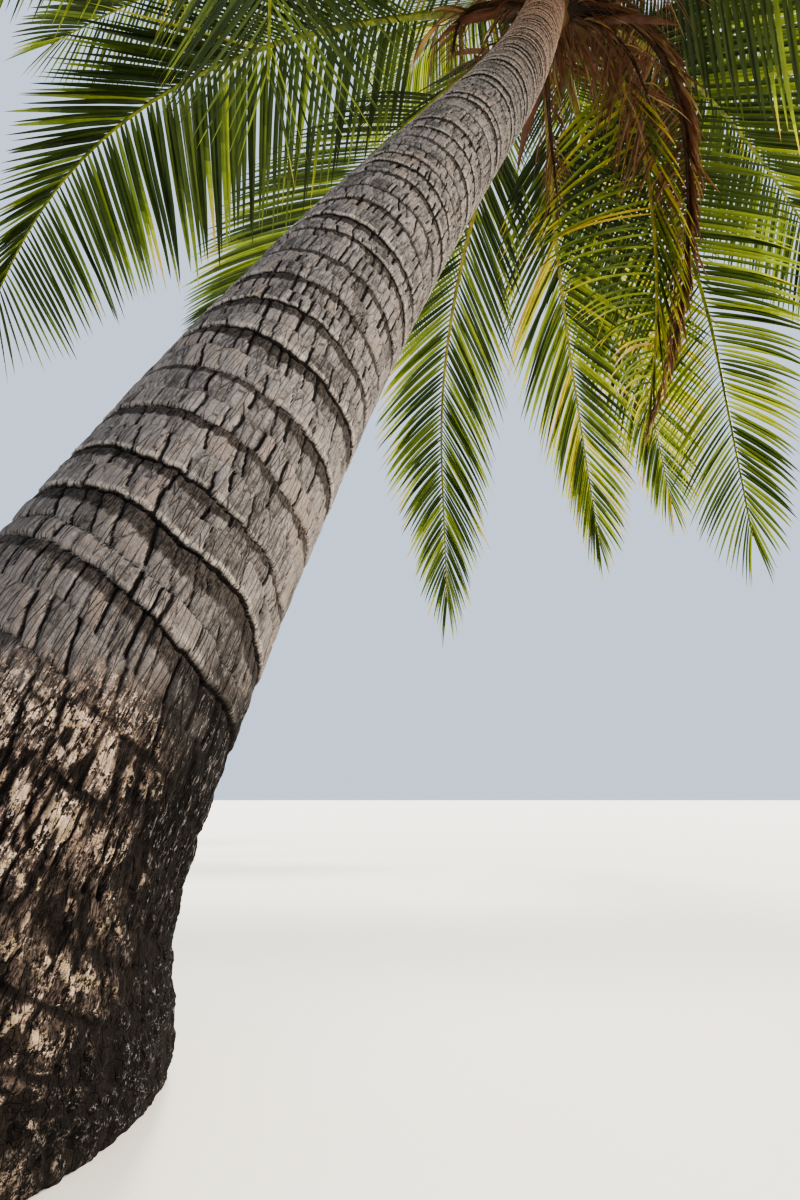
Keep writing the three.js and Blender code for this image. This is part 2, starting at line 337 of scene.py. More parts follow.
# %% Steady chance
STIR_FIRST, STIR_SECOND, STIR_SEED, STIR_ALL = 12.9898, 78.233, 37.719, 43758.5453


def chance(a, b=0, seed=0):
    """A value from 0 to 1 that is always the same for the same three numbers."""
    stirred = np.asarray(a) * STIR_FIRST + np.asarray(b) * STIR_SECOND + seed * STIR_SEED
    value = np.sin(stirred) * STIR_ALL
    return value - np.floor(value)


def grain(theta, along, cells_round, cell_length, seed):
    """Soft pattern of cells round the trunk, each about cell_length long."""
    x = np.asarray(theta) / (2 * np.pi) * cells_round
    y = np.asarray(along) / cell_length
    x0, y0 = np.floor(x), np.floor(y)
    fx, fy = smooth(x - x0), smooth(y - y0)

    def corner(i, j):
        return chance((x0 + i) % cells_round, y0 + j, seed)

    low = mix(corner(0, 0), corner(1, 0), fx)
    high = mix(corner(0, 1), corner(1, 1), fx)
    return 2 * mix(low, high, fy) - 1


def layered(theta, along, layers):
    """Sum of grains. Each layer has its strength, cells round, cell length and seed."""
    return sum(strength * grain(theta, along, *cells) for strength, *cells in layers)


def groove(distance, width):
    """1 in the middle of a soft groove, 0 well outside its width."""
    return np.exp(-((distance / width) ** 2))


print("chance and grain ready, for instance", round(float(chance(3, 5, 1)), 3))

# %% [markdown]
# ## A way to write finishes
# A finish is a net of shader nodes. Adding nodes one by one hides the idea, so a small class
# wraps a socket and lets Python's own signs add the Math nodes: `1 - mask * 0.5` reads as what
# it does. Colours are blended with Mix nodes, because a Math node would turn them grey.

# %% Finish kit
class Wire:
    """A socket in a finish. Signs such as + and * add Math nodes."""

    def __init__(self, finish, socket):
        self.finish = finish
        self.socket = socket

    def maths(self, operation, first, second):
        return self.finish.node("ShaderNodeMath", {"operation": operation}, {0: first, 1: second})

    def __add__(self, other):
        return self.maths("ADD", self, other)

    def __sub__(self, other):
        return self.maths("SUBTRACT", self, other)

    def __rsub__(self, other):
        return self.maths("SUBTRACT", other, self)

    def __mul__(self, other):
        return self.maths("MULTIPLY", self, other)

    __radd__ = __add__
    __rmul__ = __mul__


class Finish:
    """A material under way, with its Principled shader."""

    def __init__(self, name):
        self.material = bpy.data.materials.new(name)
        self.material.use_nodes = True
        self.tree = self.material.node_tree
        self.shader = self.tree.nodes["Principled BSDF"]

    def put(self, socket, value):
        if isinstance(value, Wire):
            self.tree.links.new(value.socket, socket)
        elif isinstance(value, tuple) and socket.type == "RGBA":
            socket.default_value = (*value, 1)
        else:
            socket.default_value = value

    def node(self, kind, settings=None, inputs=None, output=0):
        """Any node: its type, its settings, and values or wires for its sockets."""
        made = self.tree.nodes.new(kind)
        for key, value in (settings or {}).items():
            setattr(made, key, value)
        for key, value in (inputs or {}).items():
            self.put(made.inputs[key], value)
        return Wire(self, made.outputs[output])

    def place(self):
        return self.node("ShaderNodeTexCoord", output="Object")

    def mark(self, name):
        return self.node("ShaderNodeAttribute", {"attribute_name": name}, output="Vector")

    def split(self, vector):
        made = self.node("ShaderNodeSeparateXYZ", None, {0: vector}).socket.node
        return [Wire(self, output) for output in made.outputs]

    def stretched(self, vector, scale):
        return self.node("ShaderNodeMapping", None, {"Vector": vector, "Scale": scale})

    def noise(self, vector, scale, detail, roughness):
        return self.node("ShaderNodeTexNoise", None, {
            "Vector": vector, "Scale": scale, "Detail": detail, "Roughness": roughness})

    def cracks(self, vector):
        """Distance to the edges of random cells, which is 0 in the cracks between them."""
        return self.node("ShaderNodeTexVoronoi", {"feature": "DISTANCE_TO_EDGE"}, {
            "Vector": vector, "Scale": 1.0}, output="Distance")

    def step(self, value, low, high):
        """0 under low, 1 over high, and smooth between."""
        return self.node("ShaderNodeMapRange", {"interpolation_type": "SMOOTHSTEP"}, {
            "Value": value, "From Min": low, "From Max": high})

    def blend(self, share, low, high):
        """Colour between low and high."""
        return self.node("ShaderNodeMix", {"data_type": "RGBA"}, {0: share, 6: low, 7: high},
                         output=2)

    def bump(self, height, distance, strength):
        return self.node("ShaderNodeBump", None, {
            "Height": height, "Distance": distance, "Strength": strength})

    def wear(self, **values):
        """Sets sockets of the shader, such as Base_Color, and gives back the material."""
        for key, value in values.items():
            self.put(self.shader.inputs[key.replace("_", " ")], value)
        return self.material


print("finish kit ready")

# %% [markdown]
# ## Bark of the trunk
# A coconut trunk is ringed with the scars of fallen fronds. Each scar is a dark groove with a
# lighter lip over it and a frayed band under it. Between the scars the grey rind is cracked
# lengthwise into blocks, and at the foot it breaks up into dark fibrous ridges with pale flakes.
# The relief is worked out as a height at every point of a sheet that is then rolled into the
# trunk. That gives true grooves in the outline, and the same sums give marks that the finish
# reads for its colours.

# %% Ring scars
LOWEST_RING, HIGHEST_RING = -0.25, TRUNK_LENGTH + 0.1
GAPS, GAP_POWER, GAP_CHANCE = (0.050, 0.026), 0.75, (0.6, 1.4)
CLOSER, CLOSER_FROM, CLOSER_TO = 0.60, 0.42, 0.82


def ring_levels():
    """Distances of the scars, and of the thin seams between them, closer towards the crown."""
    levels = [LOWEST_RING]
    while levels[-1] < HIGHEST_RING:
        share = max(levels[-1], 0) / TRUNK_LENGTH
        gap = mix(*GAPS, share ** GAP_POWER) * mix(*GAP_CHANCE, float(chance(len(levels), 4, 2)))
        levels.append(levels[-1] + gap * mix(1, CLOSER, ramp(share, CLOSER_FROM, CLOSER_TO)))
    return np.array(levels)


RINGS = ring_levels()
RING_RADII = trunk_radius(trunk_height(np.clip(RINGS, 0, TRUNK_LENGTH)))
print(len(RINGS), "ring scars and seams")

# %% [markdown]
# A scar isn't a perfect circle. It wavers, and at the leaning foot the rings tilt. A fallen
# frond clasped the trunk from one side, so each scar is broad on that side and thin on the
# other. From ring to ring the broad side turns by the golden angle, as leaves do on a stem.

# %% Where a point lies between two rings
GOLDEN_ANGLE = math.radians(137.5)
LEAN_ANGLE = math.atan2(LEAN[1], LEAN[0])
FOOT_RING_TILT, TILT_END = 0.62, 1.1
RING_WAVER = ((0.012, 4, 0.30, 1), (0.0075, 13, 0.07, 2), (0.0030, 45, 0.025, 3),
              (0.0018, 120, 0.010, 20))


def ring_place(theta, travelled, radius):
    """Which ring each point is in, and how far it is above its lower and below its upper scar."""
    tilt = FOOT_RING_TILT * (1 - smooth(travelled / TILT_END))
    tilt = tilt * radius * np.cos(theta - LEAN_ANGLE)
    level = travelled + tilt + layered(theta, travelled, RING_WAVER)
    ring = np.clip(np.searchsorted(RINGS, level), 1, len(RINGS) - 1)
    return ring, level - RINGS[ring - 1], RINGS[ring] - level


def is_scar(ring):
    """1 for a fallen frond's scar, 0 for the thin seam between two scars."""
    return (ring % 2 == 0).astype(float)


def crescent(theta, ring):
    """1 where a fallen frond's scar is broad, 0 round the back where its two ends meet."""
    return 0.5 + 0.5 * np.cos(theta - GOLDEN_ANGLE * ring)


print("ring", int(ring_place(0.0, 1.0, 0.17)[0]), "lies 1 m up the trunk's east side")

# %% [markdown]
# Between two rings the cracks stand like the joints of a brick course: about evenly spaced, each
# a little off its place, some wide and some hardly open, and a few that stop halfway.

# %% Cracks between rings
CRACK_PITCH, CRACK_PITCHES = 0.0215, (0.75, 1.45)
CRACK_SLANTS = (-0.04, 0.22)
CRACK_STRAY = 0.8
THINNEST_CRACK, THIN_CRACKS_POWER = 0.0015, 1.6
CRACK_STRENGTHS = (0.42, 1)
SHORT_CRACKS, CRACK_FADE = 0.25, 0.12


def cut_short(ring, crack, seed):
    """Share of a ring's height that a crack leaves out at one end: 0 for most cracks."""
    return 0.5 * np.maximum(0, chance(ring, crack, seed) - (1 - SHORT_CRACKS)) / SHORT_CRACKS


def crack_field(theta, share, ring, radius, jag, widest):
    """How deep in a crack each point lies, from 0 to 1, and the tone of its block."""
    pitch = CRACK_PITCH * mix(*CRACK_PITCHES, chance(ring, 1, 11))
    count = np.floor(2 * np.pi * RING_RADII[ring] / pitch)
    slant = mix(*CRACK_SLANTS, chance(ring, 2, 12)) * (RINGS[ring] - RINGS[ring - 1]) / CRACK_PITCH
    place = theta / (2 * np.pi) * count + slant * (share - 0.5) + jag
    cell = np.floor(place)
    depth = np.zeros_like(place)
    for shift in (-1, 0, 1):
        crack = (cell + shift) % count
        middle = cell + shift + 0.5 + CRACK_STRAY * (chance(ring, crack, 5) - 0.5)
        distance = np.abs(place - middle) * 2 * np.pi * radius / count
        width = mix(THINNEST_CRACK, widest, chance(ring, crack, 6) ** THIN_CRACKS_POWER)
        starts, ends = cut_short(ring, crack, 7), 1 - cut_short(ring, crack, 8)
        reach = smooth((share - starts) / CRACK_FADE + 0.5)
        reach = reach * smooth((ends - share) / CRACK_FADE + 0.5)
        strength = mix(*CRACK_STRENGTHS, chance(ring, crack, 9))
        depth = np.maximum(depth, groove(distance, width) * reach * strength)
        if shift == 0:
            block = np.where(place > middle, cell, cell - 1)
    return depth, chance(ring, block % count, 10)


print("cracks about", CRACK_PITCH, "m apart")

# %% [markdown]
# The ringed rind adds up grooves, frayed bands, lips and cracks, and a soft swell for each ring.
# Higher up the trunk the bands are stronger, the cracks weaker, and whole rings differ in tone.

# %% Ringed rind
RIND_JAG = ((0.07, 60, 0.022, 4), (0.04, 170, 0.007, 5))
RIND_THREADS, RIND_FINE = (230, 0.02, 18), (120, 0.03, 19)
RIND_WIDEST_CRACK = 0.0032
WEAK_CRACKS, WEAK_FROM, WEAK_TO = 0.45, 1.9, 3.7
UPPER_FROM, UPPER_TO = 2.2, 3.5
RING_TONES = 0.8
SCAR_WIDTHS, SCAR_STRENGTHS, SEAM_STRENGTHS = (0.0014, 0.0028), (0.45, 0.95), (0.15, 0.55)
BAND_WIDTHS, BAND_UPPER_WIDTH = (0.0110, 0.0190), 1.3
BAND_FULL_GAP, BAND_LEAST_WIDTH = 0.045, 0.6
BAND_THREADS, BAND_FINE, BAND_EDGE = 0.0035, 0.0015, 1.1
BAND_ROUND, BAND_CHANCE, BAND_UPPER = (0.6, 1), (0.7, 1), (1, 1.7)
BAND_DARK, BAND_DARK_THREADS = 0.20, 0.4
LIP_PLACE, LIP_WIDTH, LIP_ROUND = 0.006, 0.004, (0.25, 1)
SWELLS, SWELL_POWER = (0.0008, 0.0026), 0.7
LIP_HEIGHT, SCAR_DEPTH, CRACK_DEPTH = 0.0014, 0.0040, 0.0048
BAND_DEPTH, BAND_RELIEF = 0.0022, 0.0012
BLOCK_RELIEF, FINE_RELIEF, THREAD_RELIEF = 0.0010, 0.0006, 0.0004


def scar_groove(ring, broad, distance):
    """Strength of the groove of a scar or seam, at a distance from its middle."""
    seam = mix(*SEAM_STRENGTHS, chance(ring, 3, 13))
    strength = mix(seam, mix(*SCAR_STRENGTHS, broad), is_scar(ring))
    return strength * groove(distance, mix(*SCAR_WIDTHS, broad))


def frayed_band(ring, broad, below, gap, upper, threads, fine):
    """Strength of the frayed band under a scar. Its lower edge is torn by the threads."""
    width = mix(*BAND_WIDTHS, broad) * np.clip(gap / BAND_FULL_GAP, BAND_LEAST_WIDTH, 1)
    width = width * mix(1, BAND_UPPER_WIDTH, upper)
    torn = below + BAND_THREADS * threads + BAND_FINE * fine
    band = is_scar(ring) * smooth(1 + BAND_EDGE - torn / width * BAND_EDGE)
    band = band * mix(*BAND_ROUND, broad) * mix(*BAND_CHANCE, chance(ring, 7, 17))
    return np.minimum(1, band * mix(*BAND_UPPER, upper))


def bark(theta, travelled, radius):
    """Height of the ringed rind in metres, and its marks: dark, tone and pale."""
    ring, above, below = ring_place(theta, travelled, radius)
    gap = above + below
    share = above / gap
    upper = ramp(travelled, UPPER_FROM, UPPER_TO)
    low, high = crescent(theta, ring - 1), crescent(theta, ring)
    threads = grain(theta, travelled, *RIND_THREADS)
    fine = grain(theta, travelled, *RIND_FINE)
    jag = layered(theta, travelled, RIND_JAG)
    crack, tone = crack_field(theta, share, ring, radius, jag, RIND_WIDEST_CRACK)
    crack = crack * mix(1, WEAK_CRACKS, ramp(travelled, WEAK_FROM, WEAK_TO))
    tone = mix(tone, chance(ring, 9, 23), RING_TONES * upper)
    scar = np.maximum(scar_groove(ring - 1, low, above), scar_groove(ring, high, below))
    band = frayed_band(ring, high, below, gap, upper, threads, fine)
    lip = is_scar(ring - 1) * groove(above - LIP_PLACE, LIP_WIDTH) * mix(*LIP_ROUND, low)
    swell = mix(*SWELLS, chance(ring, 8, 22)) * np.sin(np.pi * share) ** SWELL_POWER
    height = swell + LIP_HEIGHT * lip - band * (BAND_DEPTH + BAND_RELIEF * threads)
    height = height - SCAR_DEPTH * scar - CRACK_DEPTH * crack
    height = height + BLOCK_RELIEF * (tone - 0.5) + FINE_RELIEF * fine + THREAD_RELIEF * threads
    band_dark = band * np.clip(BAND_DARK + BAND_DARK_THREADS * threads, 0, 1)
    dark = np.maximum.reduce([scar, crack, band_dark])
    return height, np.clip(dark, 0, 1), tone, np.clip(lip, 0, 1) - band


print("scars", SCAR_DEPTH, "m deep, cracks", CRACK_DEPTH, "m deep")

# %% [markdown]
# At the foot nothing is left of the smooth rind. Rows of stiff strands stick out between the
# rings, with flakes and crumbs on their crests and pits between them.

# %% Bark of the butt
BUTT_JAG = ((0.12, 60, 0.02, 30), (0.09, 170, 0.008, 31))
BUTT_WIDEST_CRACK = 0.0044
ROW_WIDTH, ROW_STRENGTH, ROW_CHANGE, STRAND_LEAN = 0.0055, 0.6, 0.5, 0.12
PITS_FROM, PITS_TO, DEEPEST_FLAKE = 0.25, 0.55, -0.3
BUTT_GRAINS = {
    "rows": (40, 0.05, 37), "strands": (170, 0.040, 32), "hairs": (330, 0.024, 38),
    "flakes": (140, 0.014, 33), "crumbs": (310, 0.007, 34), "pits": (120, 0.026, 35),
}
CREST_PLACE, CREST_WIDTH = 0.62, 0.26
CREST_HEIGHT, STRAND_HEIGHT, HAIR_HEIGHT, FLAKE_HEIGHT, CRUMB_HEIGHT = (
    0.0016, 0.0018, 0.0014, 0.0013, 0.0011)
BUTT_CRACK_DEPTH, ROW_DEPTH, PIT_DEPTH = 0.0034, 0.0020, 0.0014
ROW_DARK, PIT_DARK, BETWEEN_DARK = 0.8, 0.7, 0.7
CREST_PALE, FLAKE_PALE, CRUMB_PALE, STRAND_PALE = 0.62, 0.40, 0.30, 0.3


def butt_bark(theta, travelled, radius):
    """The same for the foot, where the rind has broken up into fibrous rows and flakes."""
    ring, above, below = ring_place(theta, travelled, radius)
    share = above / (above + below)
    leaning = theta + STRAND_LEAN * share

    def pattern(name, angle=theta):
        return grain(angle, travelled, *BUTT_GRAINS[name])

    jag = layered(theta, travelled, BUTT_JAG)
    crack, tone = crack_field(theta, share, ring, radius, jag, BUTT_WIDEST_CRACK)
    row = np.maximum(groove(above, ROW_WIDTH), groove(below, ROW_WIDTH))
    row = row * (ROW_STRENGTH + ROW_CHANGE * pattern("rows"))
    strands = 1 - np.abs(pattern("strands", leaning))
    hairs = 1 - np.abs(pattern("hairs", leaning))
    flakes, crumbs = pattern("flakes"), pattern("crumbs")
    pits = ramp(pattern("pits"), PITS_FROM, PITS_TO)
    crest = groove(share - CREST_PLACE, CREST_WIDTH)
    height = CREST_HEIGHT * crest + STRAND_HEIGHT * (strands - 0.5) + HAIR_HEIGHT * (hairs - 0.5)
    height = height + FLAKE_HEIGHT * np.maximum(flakes, DEEPEST_FLAKE) + CRUMB_HEIGHT * crumbs
    height = height - BUTT_CRACK_DEPTH * crack - ROW_DEPTH * row - PIT_DEPTH * pits
    between = (1 - strands) ** 2
    dark = np.maximum.reduce([crack, ROW_DARK * row, PIT_DARK * pits, BETWEEN_DARK * between])
    pale = CREST_PALE * crest + FLAKE_PALE * flakes + CRUMB_PALE * crumbs
    pale = np.clip(pale + STRAND_PALE * (strands - 0.5), 0, 1)
    return height, np.clip(dark, 0, 1), tone, pale


print(len(BUTT_GRAINS), "patterns on the butt")

# %% [markdown]
# The sheet of bark starts as a grid primitive, because a grid has neat rows that the sums can
# fill. It is rolled into a tube, its two long edges are welded, and its open ends are filled.
# Each point keeps marks, which are vectors that a finish can read.

# %% Rolled sheets
WELD_DISTANCE = 0.00001
BARK_EDGE_DEG = 62


def shade_smooth(piece, edge_deg):
    """Smooth shading, but for edges sharper than edge_deg."""
    bpy.ops.object.select_all(action="DESELECT")
    piece.select_set(True)
    bpy.context.view_layer.objects.active = piece
    bpy.ops.object.shade_smooth_by_angle(angle=math.radians(edge_deg))


def as_list(values, kind=np.float32):
    """An array as the plain run of numbers that Blender's foreach_set takes."""
    return np.ascontiguousarray(values, kind).ravel()


def add_mark(mesh, name, vectors):
    layer = mesh.attributes.new(name, "FLOAT_VECTOR", "POINT")
    layer.data.foreach_set("vector", as_list(vectors))


def close_tube():
    """Welds the long seam of the rolled sheet that is being edited, and fills its two ends."""
    bpy.ops.object.mode_set(mode="EDIT")
    bpy.ops.mesh.select_mode(type="VERT")
    bpy.ops.mesh.select_all(action="DESELECT")
    bpy.ops.mesh.select_non_manifold()
    bpy.ops.mesh.remove_doubles(threshold=WELD_DISTANCE)
    bpy.ops.mesh.select_all(action="SELECT")
    bpy.ops.mesh.fill_holes(sides=0)
    bpy.ops.mesh.normals_make_consistent(inside=False)
    bpy.ops.object.mode_set(mode="OBJECT")


def rolled_sheet(name, around, rows, shape, marks=None):
    """A closed tube. shape(theta, share) gives its points, and marks gives named vectors."""
    bpy.ops.mesh.primitive_grid_add(x_subdivisions=around, y_subdivisions=rows, size=1)
    piece = bpy.context.object
    piece.name = name
    mesh = piece.data
    flat = np.empty(len(mesh.vertices) * 3, np.float32)
    mesh.vertices.foreach_get("co", flat)
    flat = flat.reshape(-1, 3).astype(float)
    column = np.round((flat[:, 0] + 0.5) * around) % around
    theta = column / around * 2 * np.pi
    share = np.clip(flat[:, 1] + 0.5, 0, 1)
    mesh.vertices.foreach_set("co", as_list(shape(theta, share)))
    mesh.update()
    for key, vectors in (marks(theta, share) if marks else {}).items():
        add_mark(mesh, key, vectors)
    close_tube()
    shade_smooth(piece, BARK_EDGE_DEG)
    return piece


print("sheets are welded within", WELD_DISTANCE, "m")

# %% [markdown]
# The trunk is made in seven lengths, finest at the foot where the viewer is close. All of them
# follow one sum, so each goes on where the one under it ends, and no join shows. The sum blends
# the bark of the butt below into the ringed rind above, and adds a slow swell over both.

# %% Trunk sums
BUTT_TOP, BUTT_FADE, BUTT_EDGE = 0.31, 0.22, (0.05, 9, 0.1, 40)
SLOW_SWELLS, SLOW_SWELL_END, SLOW_SWELL_GRAIN = (0.012, 0.003), 1.2, (5, 0.6, 41)


def trunk_sums(theta, travelled):
    """Radius and marks of the whole trunk, from the butt's bark to the ringed rind."""
    plain = trunk_radius(trunk_height(travelled))
    edge = BUTT_TOP + layered(theta, travelled, [BUTT_EDGE])
    butt = smooth((edge + BUTT_FADE - travelled) / BUTT_FADE)
    sums = zip(bark(theta, travelled, plain), butt_bark(theta, travelled, plain))
    relief, dark, tone, pale = [mix(rind, foot, butt) for rind, foot in sums]
    swell = mix(*SLOW_SWELLS, smooth(travelled / SLOW_SWELL_END))
    swell = swell * grain(theta, travelled, *SLOW_SWELL_GRAIN)
    return plain + relief + swell, dark, tone, pale, butt


waist = trunk_sums(np.zeros(1), np.ones(1))[0][0]
print("the bark's radius on the east side, 1 m up:", round(float(waist), 3), "m")

# %% Trunk lengths
UPRIGHT_FOOT_HEIGHT = 0.5
# Where each length starts and ends along the trunk, and its faces round and along.
TRUNK_PARTS = {
    "trunk_foot": (0.0, 0.27, 680, 140),
    "trunk_butt": (0.27, 0.55, 640, 145),
    "trunk_middle": (0.55, 1.15, 470, 205),
    "trunk_waist": (1.15, 1.6, 430, 200),
    "trunk_lower": (1.6, 2.15, 400, 215),
    "trunk_upper": (2.15, 3.2, 240, 410),
    "trunk_top": (3.2, TRUNK_LENGTH, 170, 580),
}


def trunk_part(name, low, high, around, rows):
    def shape(theta, share):
        travelled = mix(low, high, share)
        height = trunk_height(travelled)
        radius = trunk_sums(theta, travelled)[0]
        turned = smooth(height / UPRIGHT_FOOT_HEIGHT)[:, None]
        axis = unit(UP * (1 - turned) + trunk_axis(height) * turned)
        return ring_points(trunk_centre(height), axis, theta, radius)

    def marks(theta, share):
        travelled = mix(low, high, share)
        _, dark, tone, pale, butt = trunk_sums(theta, travelled)
        plain = trunk_radius(trunk_height(travelled))
        straight = np.stack([plain * np.cos(theta), plain * np.sin(theta), travelled], -1)
        return {"straight": straight, "bark": np.stack([dark, tone, pale], -1),
                "butt": np.stack([butt, butt, butt], -1)}

    return rolled_sheet(name, around, rows, shape, marks)


trunk = [trunk_part(name, *sizes) for name, sizes in TRUNK_PARTS.items()]
for piece in trunk:
    print(piece.name, len(piece.data.vertices), "points")

# %% [markdown]
# The finish of the bark reads the marks for what has a place: dark grooves, pale lips, a tone
# for each block. Finer fibres and specks come from noise that is stretched along the trunk. It
# reads the straightened place of each point, so the fibres follow the lean. In the sums of the
# colours, the plain numbers weigh one pattern against another, and were found by looking.

# %% Patterns in the bark's finish
def bark_patterns(finish):
    """Marks and noises that the colours of the bark are mixed by."""
    straight = finish.mark("straight")
    dark, tone, pale = finish.split(finish.mark("bark"))
    east, north, travelled = finish.split(straight)

    def stretched_noise(scale, detail, roughness):
        return finish.noise(finish.stretched(straight, scale), 1.0, detail, roughness)

    return SimpleNamespace(
        dark=dark, tone=tone, pale=pale, east=east, north=north, travelled=travelled,
        butt=finish.split(finish.mark("butt"))[0],
        fibres=stretched_noise((130, 130, 34), 5, 0.7),
        threads=stretched_noise((480, 480, 80), 4, 0.7),
        clumps=stretched_noise((42, 42, 26), 4, 0.65),
        patches=finish.noise(straight, 7.0, 4, 0.6),
        specks=finish.noise(straight, 190.0, 3, 0.7),
        grit=finish.noise(straight, 460.0, 2, 0.7),
        checks=finish.cracks(finish.stretched(straight, (120, 120, 14))),
        scales=finish.cracks(finish.stretched(straight, (125, 125, 62))))


print("marks and noises of the bark are ready")

# %% [markdown]
# The ringed rind is grey, with warm stains and dark hairline scratches, and it turns reddish
# near the crown, where it is youngest. Lips are pale, partly in their own colour and partly as a
# painted highlight on their ridge, and bands are dark and frayed.

# %% Colours of the rind
GREYS = ((0.060, 0.055, 0.054), (0.320, 0.295, 0.284))
REDS = ((0.150, 0.066, 0.044), (0.46, 0.260, 0.170))
RED_FROM, RED_TO = 2.6, 4.3
WARM_STAIN, LOW_STAIN = (0.22, 0.155, 0.115), (0.060, 0.043, 0.036)
LOW_STAIN_FROM, LOW_STAIN_TO = 0.45, 0.95
LIP_PALE_AND_HIGHLIGHT, DARK_THREAD = (0.60, 0.54, 0.47), (0.050, 0.041, 0.036)
GREY_BAND, RED_BAND = (0.066, 0.056, 0.051), (0.064, 0.036, 0.027)
DARK_FRAY, DARK_SCRATCH = (0.024, 0.019, 0.017), (0.030, 0.025, 0.022)


def rind_colour(finish, p):
    blend, step = finish.blend, finish.step
    high_up = step(p.travelled, RED_FROM, RED_TO)
    ringed = (p.tone - 0.5) * (high_up * 0.26 + 0.18)
    shade = step(ringed + p.patches * 0.30 + p.fibres * 0.55 + p.specks * 0.40, 0.38, 0.80)
    warm = step(p.patches * 0.8 + p.tone * 0.35, 0.62, 0.80)
    rind = blend(warm * 0.42, blend(shade, *GREYS), WARM_STAIN)
    rind = blend(high_up * 0.72, rind, blend(shade, *REDS))
    low_down = 1 - step(p.travelled + (p.patches - 0.5) * 0.6, LOW_STAIN_FROM, LOW_STAIN_TO)
    rind = blend(low_down * 0.25, rind, LOW_STAIN)
    # Pale lips: partly their own pale colour, partly a painted highlight on the ridge.
    lip = step(p.pale, 0.0, 1.0) * step(p.threads, 0.40, 0.60)
    rind = blend(lip * 0.8, rind, LIP_PALE_AND_HIGHLIGHT)
    rind = blend(step(p.threads, 0.54, 0.66) * 0.35, rind, DARK_THREAD)

    in_band = 0 - p.pale
    band = step(in_band * 1.1 + (p.threads - 0.5) * 0.9 + (p.specks - 0.5) * 0.7, 0.10, 0.54)
    band = band * step(in_band, 0.02, 0.25)
    rind = blend(band * 0.86, rind, blend(high_up, GREY_BAND, RED_BAND))
    fray = step(in_band, 0.05, 0.6) * step(p.threads * 0.7 + p.specks * 0.5, 0.53, 0.70)
    rind = blend(fray * 0.85, rind, DARK_FRAY)
    scratch = p.scratch * step(p.specks, 0.40, 0.56)
    return blend(scratch * 0.8, rind, DARK_SCRATCH)


print("the rind turns red from", RED_FROM, "to", RED_TO, "m up")

# %% [markdown]
# The butt is nearly black between its strands. Weathered flakes of a pale cream sit on it, with
# scattered crumbs, and a little moss low down. On its north-east side a painted shadow makes it
# black: there the flakes are few, and only streaks of grey show through.

# %% Colours of the butt
# Where shade is painted on the foot: a slope across its north-east side, and the edges of that
# slope.
PAINTED_SHADOW_EAST, PAINTED_SHADOW_NORTH, PAINTED_SHADOW_UP = 0.79, 0.61, 0.15
PAINTED_SHADOW_FROM, PAINTED_SHADOW_TO, PAINTED_SHADOW_TOP_FROM, PAINTED_SHADOW_TOP_TO = 0.08, 0.18, 0.46, 0.62
WEATHERED_FROM, WEATHERED_TO = 0.23, 0.38
BUTT_BLACK, BUTT_BROWNS = (0.011, 0.009, 0.008), ((0.110, 0.082, 0.068), (0.19, 0.145, 0.12))
PAINTED_SHADOW_BLACK, PAINTED_SHADOW_COLOURS = (0.012, 0.011, 0.011), ((0.004, 0.0035, 0.0035), (0.190, 0.172, 0.165))
CREAMS, CRUMB = ((0.22, 0.145, 0.120), (0.66, 0.53, 0.43)), (0.36, 0.28, 0.19)
MOSS, MOSS_FROM, MOSS_TO = (0.14, 0.15, 0.05), 0.1, 0.4


# 1 where shade is painted, on the north-east side of the foot, and 0 elsewhere.
def painted_shadow_mask(finish, p):
    place = p.east * PAINTED_SHADOW_EAST + p.north * PAINTED_SHADOW_NORTH + p.travelled * PAINTED_SHADOW_UP
    return finish.step(place + (p.patches - 0.5) * 0.24, PAINTED_SHADOW_FROM, PAINTED_SHADOW_TO)


def butt_colour(finish, p, painted_shadow):
    blend, step = finish.blend, finish.step
    weathered = step(p.travelled + (p.patches - 0.5) * 0.25, WEATHERED_FROM, WEATHERED_TO)
    # In the painted shadow the butt is not weathered and has few flakes.
    weathered = weathered * (1 - painted_shadow)
    worn = p.pale * 0.45 + p.threads * 0.62 + p.specks * 1.00 + p.grit * 0.75
    worn = worn + weathered * 0.08 - painted_shadow * 0.26 + 0.04
    flake = step(worn, 1.33, 1.45)
    flake = flake * step(p.clumps * 0.8 + p.patches * 0.5 + weathered * 0.12, 0.58, 0.72)
    flake = flake * step(p.scales + (p.threads - 0.5) * 0.50 + (p.grit - 0.5) * 0.35, 0.06, 0.17)
    strand = step(p.fibres * 0.4 + p.threads * 0.7 + p.specks * 0.2, 0.58, 0.72)
    foot = blend(strand, BUTT_BLACK, blend(weathered, *BUTT_BROWNS))
    # Painted shadow: the foot turns near black on its north-east side.
    foot = blend(painted_shadow * 0.75, foot, PAINTED_SHADOW_BLACK)
    cream = blend(step(p.grit * 0.5 + p.specks * 0.5 + p.tone * 0.3, 0.46, 0.86), *CREAMS)
    foot = blend(flake * 0.95, foot, cream)
    foot = blend(step(worn + p.clumps * 0.5, 1.82, 1.92) * 0.8, foot, CRUMB)
    mossy = step(p.patches * 0.7 + p.grit * 0.3, 0.58, 0.66)
    mossy = mossy * (1 - step(p.travelled, MOSS_FROM, MOSS_TO))
    return blend(mossy * 0.35, foot, MOSS)


# Heights between which the painted shadow fades out.
print("the soot ends from", PAINTED_SHADOW_TOP_FROM, "to", PAINTED_SHADOW_TOP_TO, "m up")

# %% [markdown]
# Rind and butt meet along a broken edge. The painted shadow and the dark of the cracks come last,
# over both.

# %% Bark finish
CRACK_BLACK = (0.013, 0.010, 0.009)
BARK_ROUGHNESS, BARK_SHINE, BARK_BUMP = 0.93, 0.25, 0.006


